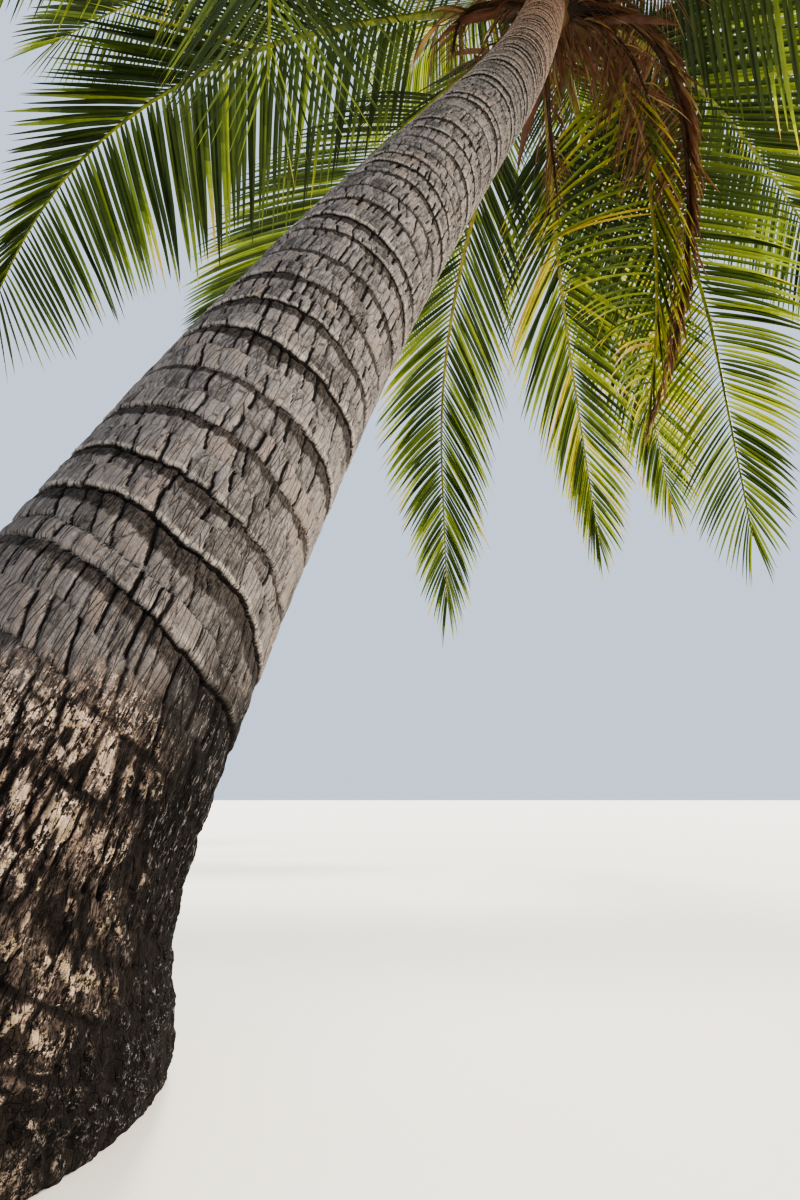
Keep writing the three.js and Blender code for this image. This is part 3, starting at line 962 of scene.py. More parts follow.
def bark_finish():
    finish = Finish("bark_ringed")
    blend, step = finish.blend, finish.step
    p = bark_patterns(finish)
    p.scratch = 1 - step(p.checks, 0.0, 0.065)
    painted_shadow = painted_shadow_mask(finish, p)
    broken = step(p.butt + (p.patches - 0.5) * 1.1 + (p.specks - 0.5) * 0.8, 0.25, 0.72)
    colour = blend(broken, rind_colour(finish, p), butt_colour(finish, p, painted_shadow))
    # Painted shadow over rind and butt on the north-east side. It fades out up the trunk and has
    # grey streaks along the fibres.
    up_there = step(p.travelled + (p.patches - 0.5) * 0.3, PAINTED_SHADOW_TOP_FROM, PAINTED_SHADOW_TOP_TO)
    streaks = step(p.threads * 0.8 + p.fibres * 0.5 + p.specks * 0.3, 0.85, 0.95)
    colour = blend(painted_shadow * (1 - up_there) * 0.94, colour, blend(streaks, *PAINTED_SHADOW_COLOURS))
    edge = step(p.dark + (p.threads - 0.5) * 0.55 + (p.grit - 0.5) * 0.35, 0.22, 0.60)
    colour = blend(edge * 0.95, colour, CRACK_BLACK)
    height = p.fibres * 0.5 + p.threads * 0.45 + p.specks * 0.35 + p.grit * 0.2 - p.scratch * 0.3
    return finish.wear(Base_Color=colour, Roughness=BARK_ROUGHNESS, Specular_IOR_Level=BARK_SHINE,
                       Normal=finish.bump(height, BARK_BUMP, 1.0))


bark_material = bark_finish()
for piece in trunk:
    piece.data.materials.append(bark_material)
    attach(piece, "root")
    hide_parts("trunk")
print("bark on", len(trunk), "lengths of trunk")

# %% [markdown]
# ## Leaf colours
# Living leaflets run from deep green to yellow-green, older ones turn yellow and then brown from
# the tip. Eight plain colours and the seven halfway between them make a ladder from deep green
# to dead brown. Each face of a leaflet is given one of its rungs, so that every leaflet keeps its
# own colour and can age towards its tip, and a soft mottling breaks the plainness. A leaf is thin
# and lets light through, which a Translucent shader mixed into the surface gives.

# %% Leaf finishes
# The colour of the skin in front light, and of the light that comes through.
LEAF_COLOURS = {
    "leaf_deep": ((0.030, 0.042, 0.019), (0.070, 0.105, 0.022)),
    "leaf_green": ((0.056, 0.078, 0.030), (0.175, 0.225, 0.040)),
    "leaf_fresh": ((0.108, 0.146, 0.040), (0.33, 0.41, 0.060)),
    "leaf_lime": ((0.220, 0.260, 0.055), (0.55, 0.57, 0.085)),
    "leaf_yellow": ((0.450, 0.345, 0.070), (0.76, 0.56, 0.100)),
    "leaf_straw": ((0.360, 0.250, 0.120), (0.46, 0.30, 0.120)),
    "leaf_brown": ((0.240, 0.150, 0.100), (0.30, 0.18, 0.095)),
    "leaf_dead": ((0.180, 0.095, 0.068), (0.28, 0.13, 0.075)),
}
LEAF_ROUGHNESS, LEAF_SHINE, LEAF_THROUGH = 0.50, 0.34, 0.34
MOTTLE_DARK, MOTTLE_LIGHT = 0.72, 1.25
# A noise is told its scale, detail and roughness.
LEAF_MOTTLE, MOTTLE_EDGES = (13.0, 4, 0.6), (0.3, 0.7)


def halfway(first, second):
    """Halfway between two pairs of colours, as the eye sees it."""
    return tuple(tuple((a * b) ** 0.5 for a, b in zip(*pair)) for pair in zip(first, second))


def times(colour, factor):
    return tuple(factor * c for c in colour)


def leaf_finish(name, skin, glow):
    finish = Finish(name)
    mottle = finish.step(finish.noise(finish.place(), *LEAF_MOTTLE), *MOTTLE_EDGES)
    colour = finish.blend(mottle, times(skin, MOTTLE_DARK), times(skin, MOTTLE_LIGHT))
    finish.wear(Base_Color=colour, Roughness=LEAF_ROUGHNESS, Specular_IOR_Level=LEAF_SHINE)
    surface = Wire(finish, finish.shader.outputs[0])
    glowing = finish.node("ShaderNodeBsdfTranslucent", None, {"Color": glow})
    both = finish.node("ShaderNodeMixShader", None, {0: LEAF_THROUGH, 1: surface, 2: glowing})
    finish.put(finish.tree.nodes["Material Output"].inputs["Surface"], both)
    return finish.material


LEAVES, LEAF_NUMBER = [], {}
rung_before = None
for name, rung in LEAF_COLOURS.items():
    if rung_before:
        LEAVES.append(leaf_finish(f"{name}_half", *halfway(rung_before, rung)))
    LEAF_NUMBER[name] = len(LEAVES)
    LEAVES.append(leaf_finish(name, *rung))
    rung_before = rung
print(len(LEAVES), "leaf colours")

# %% [markdown]
# ## One leaflet, then thousands
# A leaflet is a long narrow blade folded along its middle like a roof, and it thins to a drooping
# thread. It is modelled once, flat and straight, as a grid two faces wide, whose far end is
# merged to a point. Every leaflet of the crown is then a bent copy of that one, all of a
# group of fronds together in one mesh, because thousands of separate objects would be slow.

# %% Master leaflet
LEAFLET_STEPS = 13


def edit_chosen(mesh, kind, parts, chosen):
    """Enters edit mode with only the chosen vertices or edges of the active piece selected."""
    bpy.ops.object.mode_set(mode="EDIT")
    bpy.ops.mesh.select_mode(type=kind)
    bpy.ops.mesh.select_all(action="DESELECT")
    bpy.ops.object.mode_set(mode="OBJECT")
    for part in getattr(mesh, parts):
        part.select = chosen(part)
    bpy.ops.object.mode_set(mode="EDIT")


def taken_apart(piece):
    """Points and faces of a master piece, which is then removed."""
    bpy.ops.object.mode_set(mode="OBJECT")
    points = np.array([vertex.co[:] for vertex in piece.data.vertices])
    faces = [list(face.vertices) for face in piece.data.polygons]
    bpy.data.objects.remove(piece)
    return points, faces


bpy.ops.mesh.primitive_grid_add(x_subdivisions=2, y_subdivisions=LEAFLET_STEPS, size=1)
master = bpy.context.object
edit_chosen(master.data, "VERT", "vertices", lambda vertex: vertex.co.y > 0.5 - 1e-4)
bpy.ops.mesh.merge(type="CENTER")
leaflet, FACES = taken_apart(master)
SIDES = np.round(leaflet[:, 0] * 2)
SHARES = leaflet[:, 1] + 0.5
FACE_SHARES = np.array([SHARES[face].mean() for face in FACES])
print("master leaflet:", len(SIDES), "points,", len(FACES), "faces")

# %% [markdown]
# A copy is bent in two steps. First its middle line is walked from the root, and the direction
# falls a little more at each step and sways to the side. Then the two edges are set beside that
# line, at the blade's own width, and folded down and curled.

# %% Bending copies
PATH_STEPS = 28
FALL_POWER = 1.9
SWAY_PACE, SWAY_OFFSET = 5.0, 40
BLADE_FOOT_WIDTH, BLADE_FULL_FROM = 0.45, 0.12
BLADE_TIP, BLADE_TAPER, BLADE_TAPER_POWER = 1.02, 0.48, 0.85
UNFOLDING = 0.35


def bent_leaflets(roots, direction, normal, length, half_width, fold, droop, curl, wave):
    """Points of many leaflets, one row each. droop is how hard the blade falls along its way."""
    marks = (np.arange(PATH_STEPS) + 0.5) / PATH_STEPS
    fall = droop[:, None] * marks ** FALL_POWER
    sway = wave[:, None] * np.sin(marks * SWAY_PACE + wave[:, None] * SWAY_OFFSET)
    heading = direction[:, None, :] - fall[..., None] * UP
    heading = unit(heading + sway[..., None] * np.cross(normal, direction)[:, None, :])
    path = np.cumsum(heading, 1) * (length / PATH_STEPS)[:, None, None]
    path = np.concatenate([np.zeros_like(path[:, :1]), path], 1) + roots[:, None, :]

    at = SHARES * PATH_STEPS
    low = np.minimum(at.astype(int), PATH_STEPS - 1)
    part = (at - low)[None, :, None]
    middle = path[:, low] * (1 - part) + path[:, low + 1] * part
    along = heading[:, low]
    face_up = squared(normal[:, None, :], along)
    across = np.cross(face_up, along)
    turn = curl[:, None] * SHARES
    across, face_up = swung(across, along, turn), swung(face_up, along, turn)

    opening = mix(BLADE_FOOT_WIDTH, 1, SHARES / BLADE_FULL_FROM)
    closing = np.minimum(1, (BLADE_TIP - SHARES) / BLADE_TAPER) ** BLADE_TAPER_POWER
    width = half_width[:, None] * np.minimum(1, opening) * closing
    slope = fold[:, None] * (1 - UNFOLDING * SHARES)
    out = (SIDES * width * np.cos(slope))[..., None] * across
    down = (np.abs(SIDES) * width * np.sin(slope))[..., None] * face_up
    return middle + out - down


def mesh_of(name, points, faces, colours, materials):
    """A mesh object from arrays: points of all copies, one copy's faces, colours for each face."""
    copies, per_copy = points.shape[:2]
    corners = np.concatenate([np.array(face) for face in faces])
    sizes = np.array([len(face) for face in faces])
    mesh = bpy.data.meshes.new(name)
    mesh.vertices.add(copies * per_copy)
    mesh.vertices.foreach_set("co", as_list(points))
    loops = corners[None, :] + np.arange(copies)[:, None] * per_copy
    starts = np.concatenate([[0], np.cumsum(np.tile(sizes, copies))[:-1]])
    mesh.loops.add(loops.size)
    mesh.loops.foreach_set("vertex_index", as_list(loops, np.int32))
    mesh.polygons.add(len(starts))
    mesh.polygons.foreach_set("loop_start", as_list(starts, np.int32))
    for material in materials:
        mesh.materials.append(material)
    mesh.polygons.foreach_set("material_index", as_list(colours, np.int32))
    mesh.update(calc_edges=True)
    mesh.validate()
    piece = bpy.data.objects.new(name, mesh)
    bpy.context.scene.collection.objects.link(piece)
    return piece


print("copies bend in", PATH_STEPS, "steps")

# %% [markdown]
# ## Leaflets along a midrib
# Leaflets stand in two rows. They start at a wide angle near the stalk and lean ever more
# forward to the tip, are longest between a fifth and two fifths of the way out, and slope down
# like a roof. How a frond looks depends on its age, so each age has its own kind: how hard the
# leaflets droop, how tightly they fold, and which colours they take at their foot and tip. The
# tip colours go to a share of the leaflets, and the rest keep their own to the end.

# %% Ages
LIVING = dict(first=0.72, pitch=0.0415, droop=0.38, fold=0.46, width=0.0166, spread=(64, 28))
AGES = {
    "grown": dict(
        LIVING, jitter=0.013, curl=0.10,
        colours=(("leaf_deep", 0.36), ("leaf_green", 0.40), ("leaf_fresh", 0.18),
                 ("leaf_lime", 0.06)),
        ends=(("leaf_fresh", 0.28), ("leaf_lime", 0.12), ("leaf_yellow", 0.06),
              ("leaf_straw", 0.04))),
    "tipped": dict(
        LIVING, jitter=0.016, curl=0.12,
        colours=(("leaf_deep", 0.32), ("leaf_green", 0.48), ("leaf_fresh", 0.20)),
        ends=(("leaf_lime", 0.24), ("leaf_yellow", 0.30), ("leaf_straw", 0.14))),
    "young": dict(
        LIVING, first=0.8, droop=0.40, fold=0.75, width=0.016, spread=(54, 16), jitter=0.02,
        curl=0.08, colours=(("leaf_green", 0.3), ("leaf_fresh", 0.5), ("leaf_lime", 0.2)),
        ends=(("leaf_lime", 0.2),)),
    "yellowing": dict(
        LIVING, first=0.7, droop=0.50, fold=0.52, width=0.0170, spread=(72, 26), jitter=0.028,
        curl=0.20,
        colours=(("leaf_deep", 0.22), ("leaf_green", 0.34), ("leaf_fresh", 0.28),
                 ("leaf_lime", 0.12), ("leaf_yellow", 0.04)),
        ends=(("leaf_lime", 0.25), ("leaf_yellow", 0.25), ("leaf_straw", 0.12),
              ("leaf_brown", 0.12))),
    "old": dict(
        LIVING, first=0.55, droop=0.85, fold=0.60, width=0.0136, spread=(102, 60), jitter=0.035,
        curl=0.25,
        colours=(("leaf_deep", 0.08), ("leaf_green", 0.24), ("leaf_fresh", 0.34),
                 ("leaf_lime", 0.28), ("leaf_yellow", 0.05), ("leaf_straw", 0.01)),
        ends=(("leaf_yellow", 0.34), ("leaf_straw", 0.22), ("leaf_brown", 0.20))),
    "dead": dict(
        first=0.28, pitch=0.021, droop=1.7, fold=0.95, width=0.0135, spread=(84, 36), jitter=0.15,
        curl=1.6,
        colours=(("leaf_dead", 0.52), ("leaf_brown", 0.40), ("leaf_straw", 0.08)),
        ends=(("leaf_brown", 0.3), ("leaf_straw", 0.1))),
}
FROND_AGES = {"frond_dead": "dead", "frond_old": "old", "frond_yellow_north": "yellowing",
              "frond_yellow_tip": "yellowing", "frond_north": "tipped"}


def age_of(name):
    return FROND_AGES.get(name, "young" if "young" in name else "grown")


print(len(AGES), "ages of frond")

# %% [markdown]
# Wind and neighbours give some sides of some fronds ways of their own. Their leaflets turn
# forward or back, hang at another slope or tilt (all in degrees), or are wider, longer or
# droopier by a factor. The factor called inner thins those near the stalk, where daylight shows
# between them, and outer shortens those farther out.

# %% Ways of their own
ROOF_SLOPE, BLADE_TILT, INNER_WIDTH = 24, 15, 0.8
LEFT, RIGHT = -1, 1
OWN_WAYS = {
    ("frond_west", RIGHT): dict(slope=35, tilt=-40, turn=-6, width=1.5, droop=0.3),
    ("frond_west", LEFT): dict(slope=44, tilt=0, turn=15, width=1.5, droop=0.3, inner=0.6),
    ("frond_northwest", RIGHT): dict(inner=0.55),
    ("frond_northeast", RIGHT): dict(inner=0.6),
    ("frond_yellow_tip", LEFT): dict(inner=0.6),
    ("frond_yellow_tip", RIGHT): dict(turn=-16),
    ("frond_yellow_north", LEFT): dict(inner=0.6),
    ("frond_yellow_north", RIGHT): dict(turn=-10, inner=0.6),
    ("frond_young_2", RIGHT): dict(width=0.5),
    ("frond_upper_2", RIGHT): dict(width=0.7),
    ("frond_upper_2", LEFT): dict(width=0.7),
    ("frond_upper_4", LEFT): dict(width=0.7),
    ("frond_over", RIGHT): dict(turn=10, width=0.52, droop=0.6),
    ("frond_over", LEFT): dict(turn=10, width=0.52, droop=0.6),
    ("frond_old", LEFT): dict(slope=52, turn=-62, length=0.70, width=0.7),
    ("frond_dead", LEFT): dict(slope=58, turn=-46, length=0.50),
    ("frond_dead", RIGHT): dict(outer=0.45),
    ("frond_north", LEFT): dict(turn=-12, droop=1.3),
}
# Share of the leaflets painted deep green from end to end as shade, beside those near the stalk.
SHADED = {"frond_west": 0.65, "frond_over": 0.3, "frond_high_west": 0.3}
print(len(OWN_WAYS), "sides have ways of their own")

# %% [markdown]
# The size of the stalk comes before the leaflets, because they are rooted on its two edges. It
# is broad where it clasps the heart, and then thins towards the frond's tip.

# %% Stalk and midrib sizes
CLASPING_REACH = 0.42
WIDTHS, WIDTH_POWER, CLASPING_WIDTH, CLASPING_POWER = (0.027, 0.0042), 0.62, 0.050, 1.6
DEPTHS, CLASPING_DEPTH = (0.020, 0.0036), 0.010


def rib_sizes(distance, length):
    """Half width and half depth of a frond's stalk and midrib."""
    foot = smooth(1 - distance / CLASPING_REACH)
    outward = np.clip(distance / length, 0, 1) ** WIDTH_POWER
    half_width = mix(*WIDTHS, outward) + CLASPING_WIDTH * foot ** CLASPING_POWER
    return half_width, mix(*DEPTHS, outward) + CLASPING_DEPTH * foot


print("stalks are", 2 * (WIDTHS[0] + CLASPING_WIDTH), "m wide where they clasp the heart")

# %% [markdown]
# Now the leaflets of one side are worked out all at once, as arrays with one value for each.
# Every measure gets its own small irregularity. Its spread has a part that is the same for all
# fronds, and a part that grows with the jitter of the frond's age.

# %% One row of leaflets
SPREADS = {
    "spacing": (0.004, 0), "angle": (0, 1), "slope": (0, 1), "tilt": (0.06, 2),
    "length": (0.045, 0.3), "width": (0.08, 0), "fold": (0.15, 0), "droop": (0.08, 1.5),
    "wave": (0.02, 0.12),
}
LONGEST_LEAFLET, FULLNESS_POWER = 0.98, 0.5
FIRST_LENGTH, FULL_LENGTH_FROM = 0.55, 0.2
SHRINK, SHRINK_FROM, SHRINK_POWER = 0.62, 0.42, 1.35
TIP_ANGLE, TIP_ANGLE_FROM = 0.34, 0.88
TIP_WIDTH, TIP_WIDTH_FROM = 0.5, 0.86
INNER_FROM, INNER_TO, OUTER_TO = 0.18, 0.40, 0.48
ROW_WIDTHS, ANGLE_POWER = (1.10, 0.66), 0.8
ROOT_OUT, ROOT_UP = 0.7, 0.55


def leaflet_row(frond, age, own, sign, share, rng):
    """Measures of the leaflets on one side of a midrib, by the names bent_leaflets takes."""
    def irregular(measure):
        same, grows = SPREADS[measure]
        return rng.normal(0, same + grows * age["jitter"], len(share))

    distance = mix(age["first"], frond["length"], share) + irregular("spacing")
    point, along, side, up = along_midrib(frond, distance)
    angle = np.radians(mix(*age["spread"], share ** ANGLE_POWER)) + irregular("angle")
    angle = angle + np.radians(own.get("turn", 0))
    angle = angle * mix(1, TIP_ANGLE, ramp(share, TIP_ANGLE_FROM, 1))
    slope = np.radians(own.get("slope", ROOF_SLOPE)) + irregular("slope")
    outward = sign * side * np.cos(slope)[:, None] - up * np.sin(slope)[:, None]
    direction = unit(along * np.cos(angle)[:, None] + outward * np.sin(angle)[:, None])
    tilt = sign * np.radians(own.get("tilt", BLADE_TILT)) + irregular("tilt")

    growth = np.minimum(1, mix(FIRST_LENGTH, 1, share / FULL_LENGTH_FROM))
    late = np.maximum(0, (share - SHRINK_FROM) / (1 - SHRINK_FROM))
    length = LONGEST_LEAFLET * frond["fullness"] ** FULLNESS_POWER * own.get("length", 1)
    length = length * growth * (1 - SHRINK * late ** SHRINK_POWER) * (1 + irregular("length"))
    length = length * mix(1, own.get("outer", 1), ramp(share, INNER_FROM, OUTER_TO))
    width = age["width"] * mix(*ROW_WIDTHS, share) * (1 + irregular("width"))
    width = width * own.get("width", 1)
    width = width * mix(1, TIP_WIDTH, ramp(share, TIP_WIDTH_FROM, 1))
    width = width * mix(own.get("inner", INNER_WIDTH), 1, ramp(share, INNER_FROM, INNER_TO))

    rib_width, rib_depth = rib_sizes(distance, frond["length"])
    return dict(
        roots=moved(point, side, up, sign * rib_width * ROOT_OUT, rib_depth * ROOT_UP),
        direction=direction, normal=swung(squared(up, direction), direction, tilt),
        length=length, half_width=width,
        fold=age["fold"] * (1 + irregular("fold")),
        droop=age["droop"] * own.get("droop", 1) * np.exp(irregular("droop")),
        curl=rng.normal(0, age["curl"], len(share)), wave=irregular("wave"))


print("leaflets are up to", LONGEST_LEAFLET, "m long")

# %% [markdown]
# Colours are dealt like cards, by the shares of the age, and neighbours tend to get like ones.
# Leaflets near the stalk, and a share of those on some fronds, are painted deep green as the
# crown's shade. From some place along its blade, a leaflet steps up the ladder of colours towards
# the colour of its tip. The two rows of a frond are staggered by half a place, so that they don't
# mirror each other.

# %% Colours of leaflets
NEIGHBOURS, SHARED_LUCK = 5, 0.4
SHADE_REACH = 0.4
TURNING_FROM, TURNING_POWER = (0.3, 0.9), 0.8
ROW_STAGGER = 0.25


def luck(rng, count):
    """Even chances from 0 to 1 that neighbours partly share."""
    shared = np.repeat(rng.random(count // NEIGHBOURS + 1), NEIGHBOURS)[:count]
    mixed = SHARED_LUCK * shared + (1 - SHARED_LUCK) * rng.random(count)
    return np.argsort(np.argsort(mixed)) / count


def dealt(rng, choices, count, to_all=True):
    """Leaf numbers dealt by share. Where not all get one, -1 stands for none."""
    limits = np.cumsum([share for _, share in choices])
    numbers = np.array([LEAF_NUMBER[name] for name, _ in choices] + [-1])
    return numbers[np.searchsorted(limits, luck(rng, count) * (limits[-1] if to_all else 1))]


def leaflet_colours(name, age, share, rng):
    """A leaf number for each face of both rows of leaflets."""
    total = 2 * len(share)
    body = dealt(rng, age["colours"], total)
    # Painted shade: leaflets near the stalk, and a share on some fronds, are made deep green.
    if age_of(name) not in ("dead", "old"):
        shaded = np.maximum(np.tile(1 - share / SHADE_REACH, 2), SHADED.get(name, 0))
        body = np.where(rng.random(total) < shaded, LEAF_NUMBER["leaf_deep"], body)
    body = np.clip(body + rng.integers(-1, 2, total), 0, len(LEAVES) - 1)
    tip = np.maximum(dealt(rng, age["ends"], total, to_all=False), body)
    start = mix(*TURNING_FROM, rng.random(total))[:, None]
    turned = np.clip((FACE_SHARES - start) / (1 - start), 0, 1) ** TURNING_POWER
    return np.round(mix(body[:, None], tip[:, None], turned)).astype(int)


def frond_leaflets(name, rng):
    """Points and face colours of one frond's leaflets."""
    frond, age = FRONDS[name], AGES[age_of(name)]
    count = int((frond["length"] - age["first"]) / age["pitch"])
    rows = []
    for sign in (LEFT, RIGHT):
        share = (np.arange(count) + 0.5 + ROW_STAGGER * sign) / count
        rows.append(leaflet_row(frond, age, OWN_WAYS.get((name, sign), {}), sign, share, rng))
    both = {key: np.concatenate([row[key] for row in rows]) for key in rows[0]}
    return bent_leaflets(**both), leaflet_colours(name, age, share, rng)


some = dealt(np.random.default_rng(0), AGES["grown"]["colours"], 12)
print("twelve leaves dealt from the green colours:", some)

# %% [markdown]
# The fronds go together by kind: living ones by their part of the crown, and the turning, the
# old and the dead ones apart.

# %% Leaflets of the crown
LEAFLET_EDGE_DEG = 35
FIRST_SEED = 100
GROUPS = {
    "leaflets_far": ("leaflets_green", [
        "frond_east", "frond_high_east", "frond_northeast", "frond_north", "frond_northwest",
        "frond_west", "frond_high_west", "frond_over"]),
    "leaflets_near": ("leaflets_green", numbered("near", NEAR_FRONDS)),
    "leaflets_upper": ("leaflets_green", numbered("upper", len(UPPER_AIMS))),
    "leaflets_young": ("leaflets_green", numbered("young", len(YOUNG_AIMS))),
    "leaflets_turning": ("leaflets_yellow", ["frond_yellow_north", "frond_yellow_tip"]),
    "leaflets_of_old": ("leaflets_old", ["frond_old"]),
    "leaflets_of_dead": ("leaflets_dead", ["frond_dead"]),
}


def nodes_of(fronds):
    """Plain nodes that belong to these fronds, whole or in two halves."""
    return [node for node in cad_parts
            if any(node in (f, f"{f}_inner", f"{f}_outer") for f in fronds)]


for seed, (group, (slot, fronds)) in enumerate(GROUPS.items(), start=FIRST_SEED):
    rng = np.random.default_rng(seed)
    made = [frond_leaflets(name, rng) for name in fronds]
    points, colours = [np.concatenate(rows) for rows in zip(*made)]
    piece = mesh_of(group, points, FACES, colours, LEAVES)
    shade_smooth(piece, LEAFLET_EDGE_DEG)
    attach(piece, "root")
    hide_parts(*nodes_of(fronds))
    triangles = sum(len(face) - 2 for face in FACES) * len(points)
    print(group, len(points), "leaflets,", triangles, "triangles")

# %% [markdown]
# ## Stalks and midribs
# A frond's stalk clasps the heart with a broad foot, narrows to a bar as thick as a wrist, and
# runs on as the midrib between the leaflets. It is flat on top and round underneath. One
# straight stalk is modelled from a cylinder that is cut across many times, and copies of it
# are bent along each midrib. The cuts crowd at the foot, where the stalk's width changes most.

# %% Master stalk
STALK_SIDES, STALK_CUTS, STALK_CROWDING = 14, 62, 1.25
STALK_FLATNESS, FLAT_END = (0.45, 0.85), 0.3
STALK_RIPPLE, RIPPLES_ROUND, RIPPLE_TURN = 0.0016, 5, 3

bpy.ops.mesh.primitive_cylinder_add(vertices=STALK_SIDES, radius=1, depth=1,
                                    end_fill_type="TRIFAN")
master = bpy.context.object
heights = [vertex.co.z for vertex in master.data.vertices]
edit_chosen(master.data, "EDGE", "edges",
            lambda edge: abs(heights[edge.vertices[0]] - heights[edge.vertices[1]]) > 0.5)
bpy.ops.mesh.subdivide(number_cuts=STALK_CUTS)
stalk, STALK_FACES = taken_apart(master)
STALK_ANGLES = np.arctan2(stalk[:, 1], stalk[:, 0])
STALK_REACH = np.where(np.hypot(stalk[:, 0], stalk[:, 1]) > 0.5, 1.0, 0.0)
STALK_SHARES = stalk[:, 2] + 0.5
STALK_CROWDED = STALK_SHARES ** STALK_CROWDING
print("master stalk:", len(STALK_SHARES), "points")


def frond_stalk(frond):
    """Points of one frond's stalk and midrib."""
    distance = STALK_CROWDED * frond["length"]
    point, _, side, up = along_midrib(frond, distance)
    half_width, half_depth = rib_sizes(distance, frond["length"])
    flatness = mix(*STALK_FLATNESS, np.clip(STALK_CROWDED / FLAT_END, 0, 1))
    across = np.cos(STALK_ANGLES) * half_width * STALK_REACH
    lift = np.sin(STALK_ANGLES) * half_depth * STALK_REACH
    lift = np.where(lift > 0, lift * flatness, lift)
    ripple = STALK_RIPPLE * np.sin(STALK_ANGLES * RIPPLES_ROUND + distance * RIPPLE_TURN)
    return moved(point, side, up, across, lift + ripple * STALK_REACH * (1 - STALK_CROWDED))


# %% [markdown]
# A living stalk is a glossy yellow-green. Towards its foot it turns brown and fibrous, which a
# mark on its points tells the finish.

# %% Stalk finishes
STALK_ROUGHNESS, STALK_SHINE, STALK_BUMP = 0.42, 0.4, 0.002
STALK_MOTTLE, STALK_SPECKS, SPECK_EDGES = (18.0, 4, 0.6), (90.0, 2, 0.6), (0.55, 0.7)
SPECKS_SHOW, HUSK_EDGES = 0.3, (0.35, 0.95)


def stalk_finish(name, low, high, brown, duller=0.0):
    finish = Finish(name)
    blend, step, place = finish.blend, finish.step, finish.place()
    foot = finish.split(finish.mark("stalk"))[0]
    mottle = step(finish.noise(place, *STALK_MOTTLE), *MOTTLE_EDGES)
    speck = step(finish.noise(place, *STALK_SPECKS), *SPECK_EDGES)
    colour = blend(speck * SPECKS_SHOW, blend(mottle, low, high), brown)
    husk = step(foot + mottle * 0.35, *HUSK_EDGES)
    colour = blend(husk, colour, blend(speck, brown, times(brown, 2)))
    return finish.wear(Base_Color=colour, Roughness=STALK_ROUGHNESS + duller,
                       Specular_IOR_Level=STALK_SHINE,
                       Normal=finish.bump(mottle + speck * 0.5, STALK_BUMP, 0.5))


STALK_GREEN = stalk_finish("stalk_green", (0.080, 0.105, 0.018), (0.26, 0.29, 0.042),
                           (0.085, 0.048, 0.022))
STALK_OLIVE = stalk_finish("stalk_olive", (0.13, 0.13, 0.025), (0.34, 0.29, 0.055),
                           (0.11, 0.06, 0.025), duller=0.05)
STALK_BROWN = stalk_finish("stalk_dead", (0.030, 0.016, 0.010), (0.085, 0.044, 0.026),
                           (0.020, 0.013, 0.009), duller=0.3)
STALK_FINISHES = {"dead": STALK_BROWN, "old": STALK_OLIVE, "yellowing": STALK_OLIVE}
print(len(set(STALK_FINISHES.values())) + 1, "stalk finishes")

# %% [markdown]
# The stalks go together by their finish and by their part of the crown, as the leaflets do.

# %% Stalks of the crown
BROWN_REACH = 0.9
STALK_EDGE_DEG = 50
STALK_GROUPS = {
    "stalks_far": [name for name in SEEN_FRONDS if name not in FROND_AGES],
    "stalks_turning": [name for name in FROND_AGES if name != "frond_dead"],
    "stalk_of_dead": ["frond_dead"],
    "stalks_near": numbered("near", NEAR_FRONDS),
    "stalks_upper": numbered("upper", len(UPPER_AIMS)) + numbered("young", len(YOUNG_AIMS)),
}


def mesh_of_stalks(name, copies, material):
    return mesh_of(name, np.stack(copies), STALK_FACES,
                   np.zeros((len(copies), len(STALK_FACES))), [material])


for group, fronds in STALK_GROUPS.items():
    material = STALK_FINISHES.get(age_of(fronds[0]), STALK_GREEN)
    piece = mesh_of_stalks(group, [frond_stalk(FRONDS[name]) for name in fronds], material)
    distance = np.concatenate([STALK_CROWDED * FRONDS[name]["length"] for name in fronds])
    foot = np.clip(1 - distance / BROWN_REACH, 0, 1)
    add_mark(piece.data, "stalk", np.stack([foot, foot, foot], -1))
    shade_smooth(piece, STALK_EDGE_DEG)
    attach(piece, "root")
    print(group, len(fronds), "stalks")

# %% [markdown]
# ## Heart of the crown
# Above the trunk's tip the leaf bases wrap round each other into a swollen heart, clad in the
# brown woven fibre that they leave behind. The heart is another rolled sheet, with slanting
# ridges where one base laps over the next. The youngest leaf is still furled and stands on it
# like a spear: a rolled sheet too, narrow and pleated.

# %% Heart and spear
# Faces round and along each sheet.
HEART_GRID, SPEAR_GRID = (96, 60), (54, 70)
# Lift along the crown's axis, and radius.
HEART_PROFILE = ((0, 0.108), (0.06, 0.138), (0.14, 0.150), (0.24, 0.146), (0.36, 0.120),
                 (0.48, 0.088), (0.60, 0.052))
HEART_HEIGHT = HEART_PROFILE[-1][0]
HEART_RIDGES, RIDGE_TURN, RIDGE_HEIGHT, HEART_INSET = 4, 14, 0.010, 0.006
HEART_GRAIN = (0.004, 40, 0.03, 50)
SPEAR_LENGTH, SPEAR_RADIUS, SPEAR_SUNK = 1.7, 0.034, 0.05
PLEATS, PLEAT_TURN, PLEAT_DEPTH, PLEAT_FADE = 9, 2.0, 0.16, 0.3
SPEAR_TAPER, SPEAR_TAPER_POWER = 0.93, 1.4
HUSK_ROUGHNESS, HUSK_SHINE, HUSK_BUMP, HUSK_BUMP_STRENGTH = 0.9, 0.2, 0.004, 0.9
THREADS_ALONG, THREADS_ACROSS, HUSK_PATCHES = (160, 160, 14), (50, 50, 190), (11.0, 3, 0.6)


def round_the_crown(theta, lift, radius):
    centre = CROWN_FOOT + CROWN_AXIS * lift[:, None]
    return ring_points(centre, np.broadcast_to(CROWN_AXIS, centre.shape), theta, radius)


def heart_shape(theta, share):
    lift = share * HEART_HEIGHT
    ridges = RIDGE_HEIGHT * np.abs(np.sin(theta * HEART_RIDGES + lift * RIDGE_TURN))
    ridges = ridges + layered(theta, lift, [HEART_GRAIN])
    radius = np.interp(lift, *zip(*HEART_PROFILE)) + ridges - HEART_INSET
    return round_the_crown(theta, lift, radius)


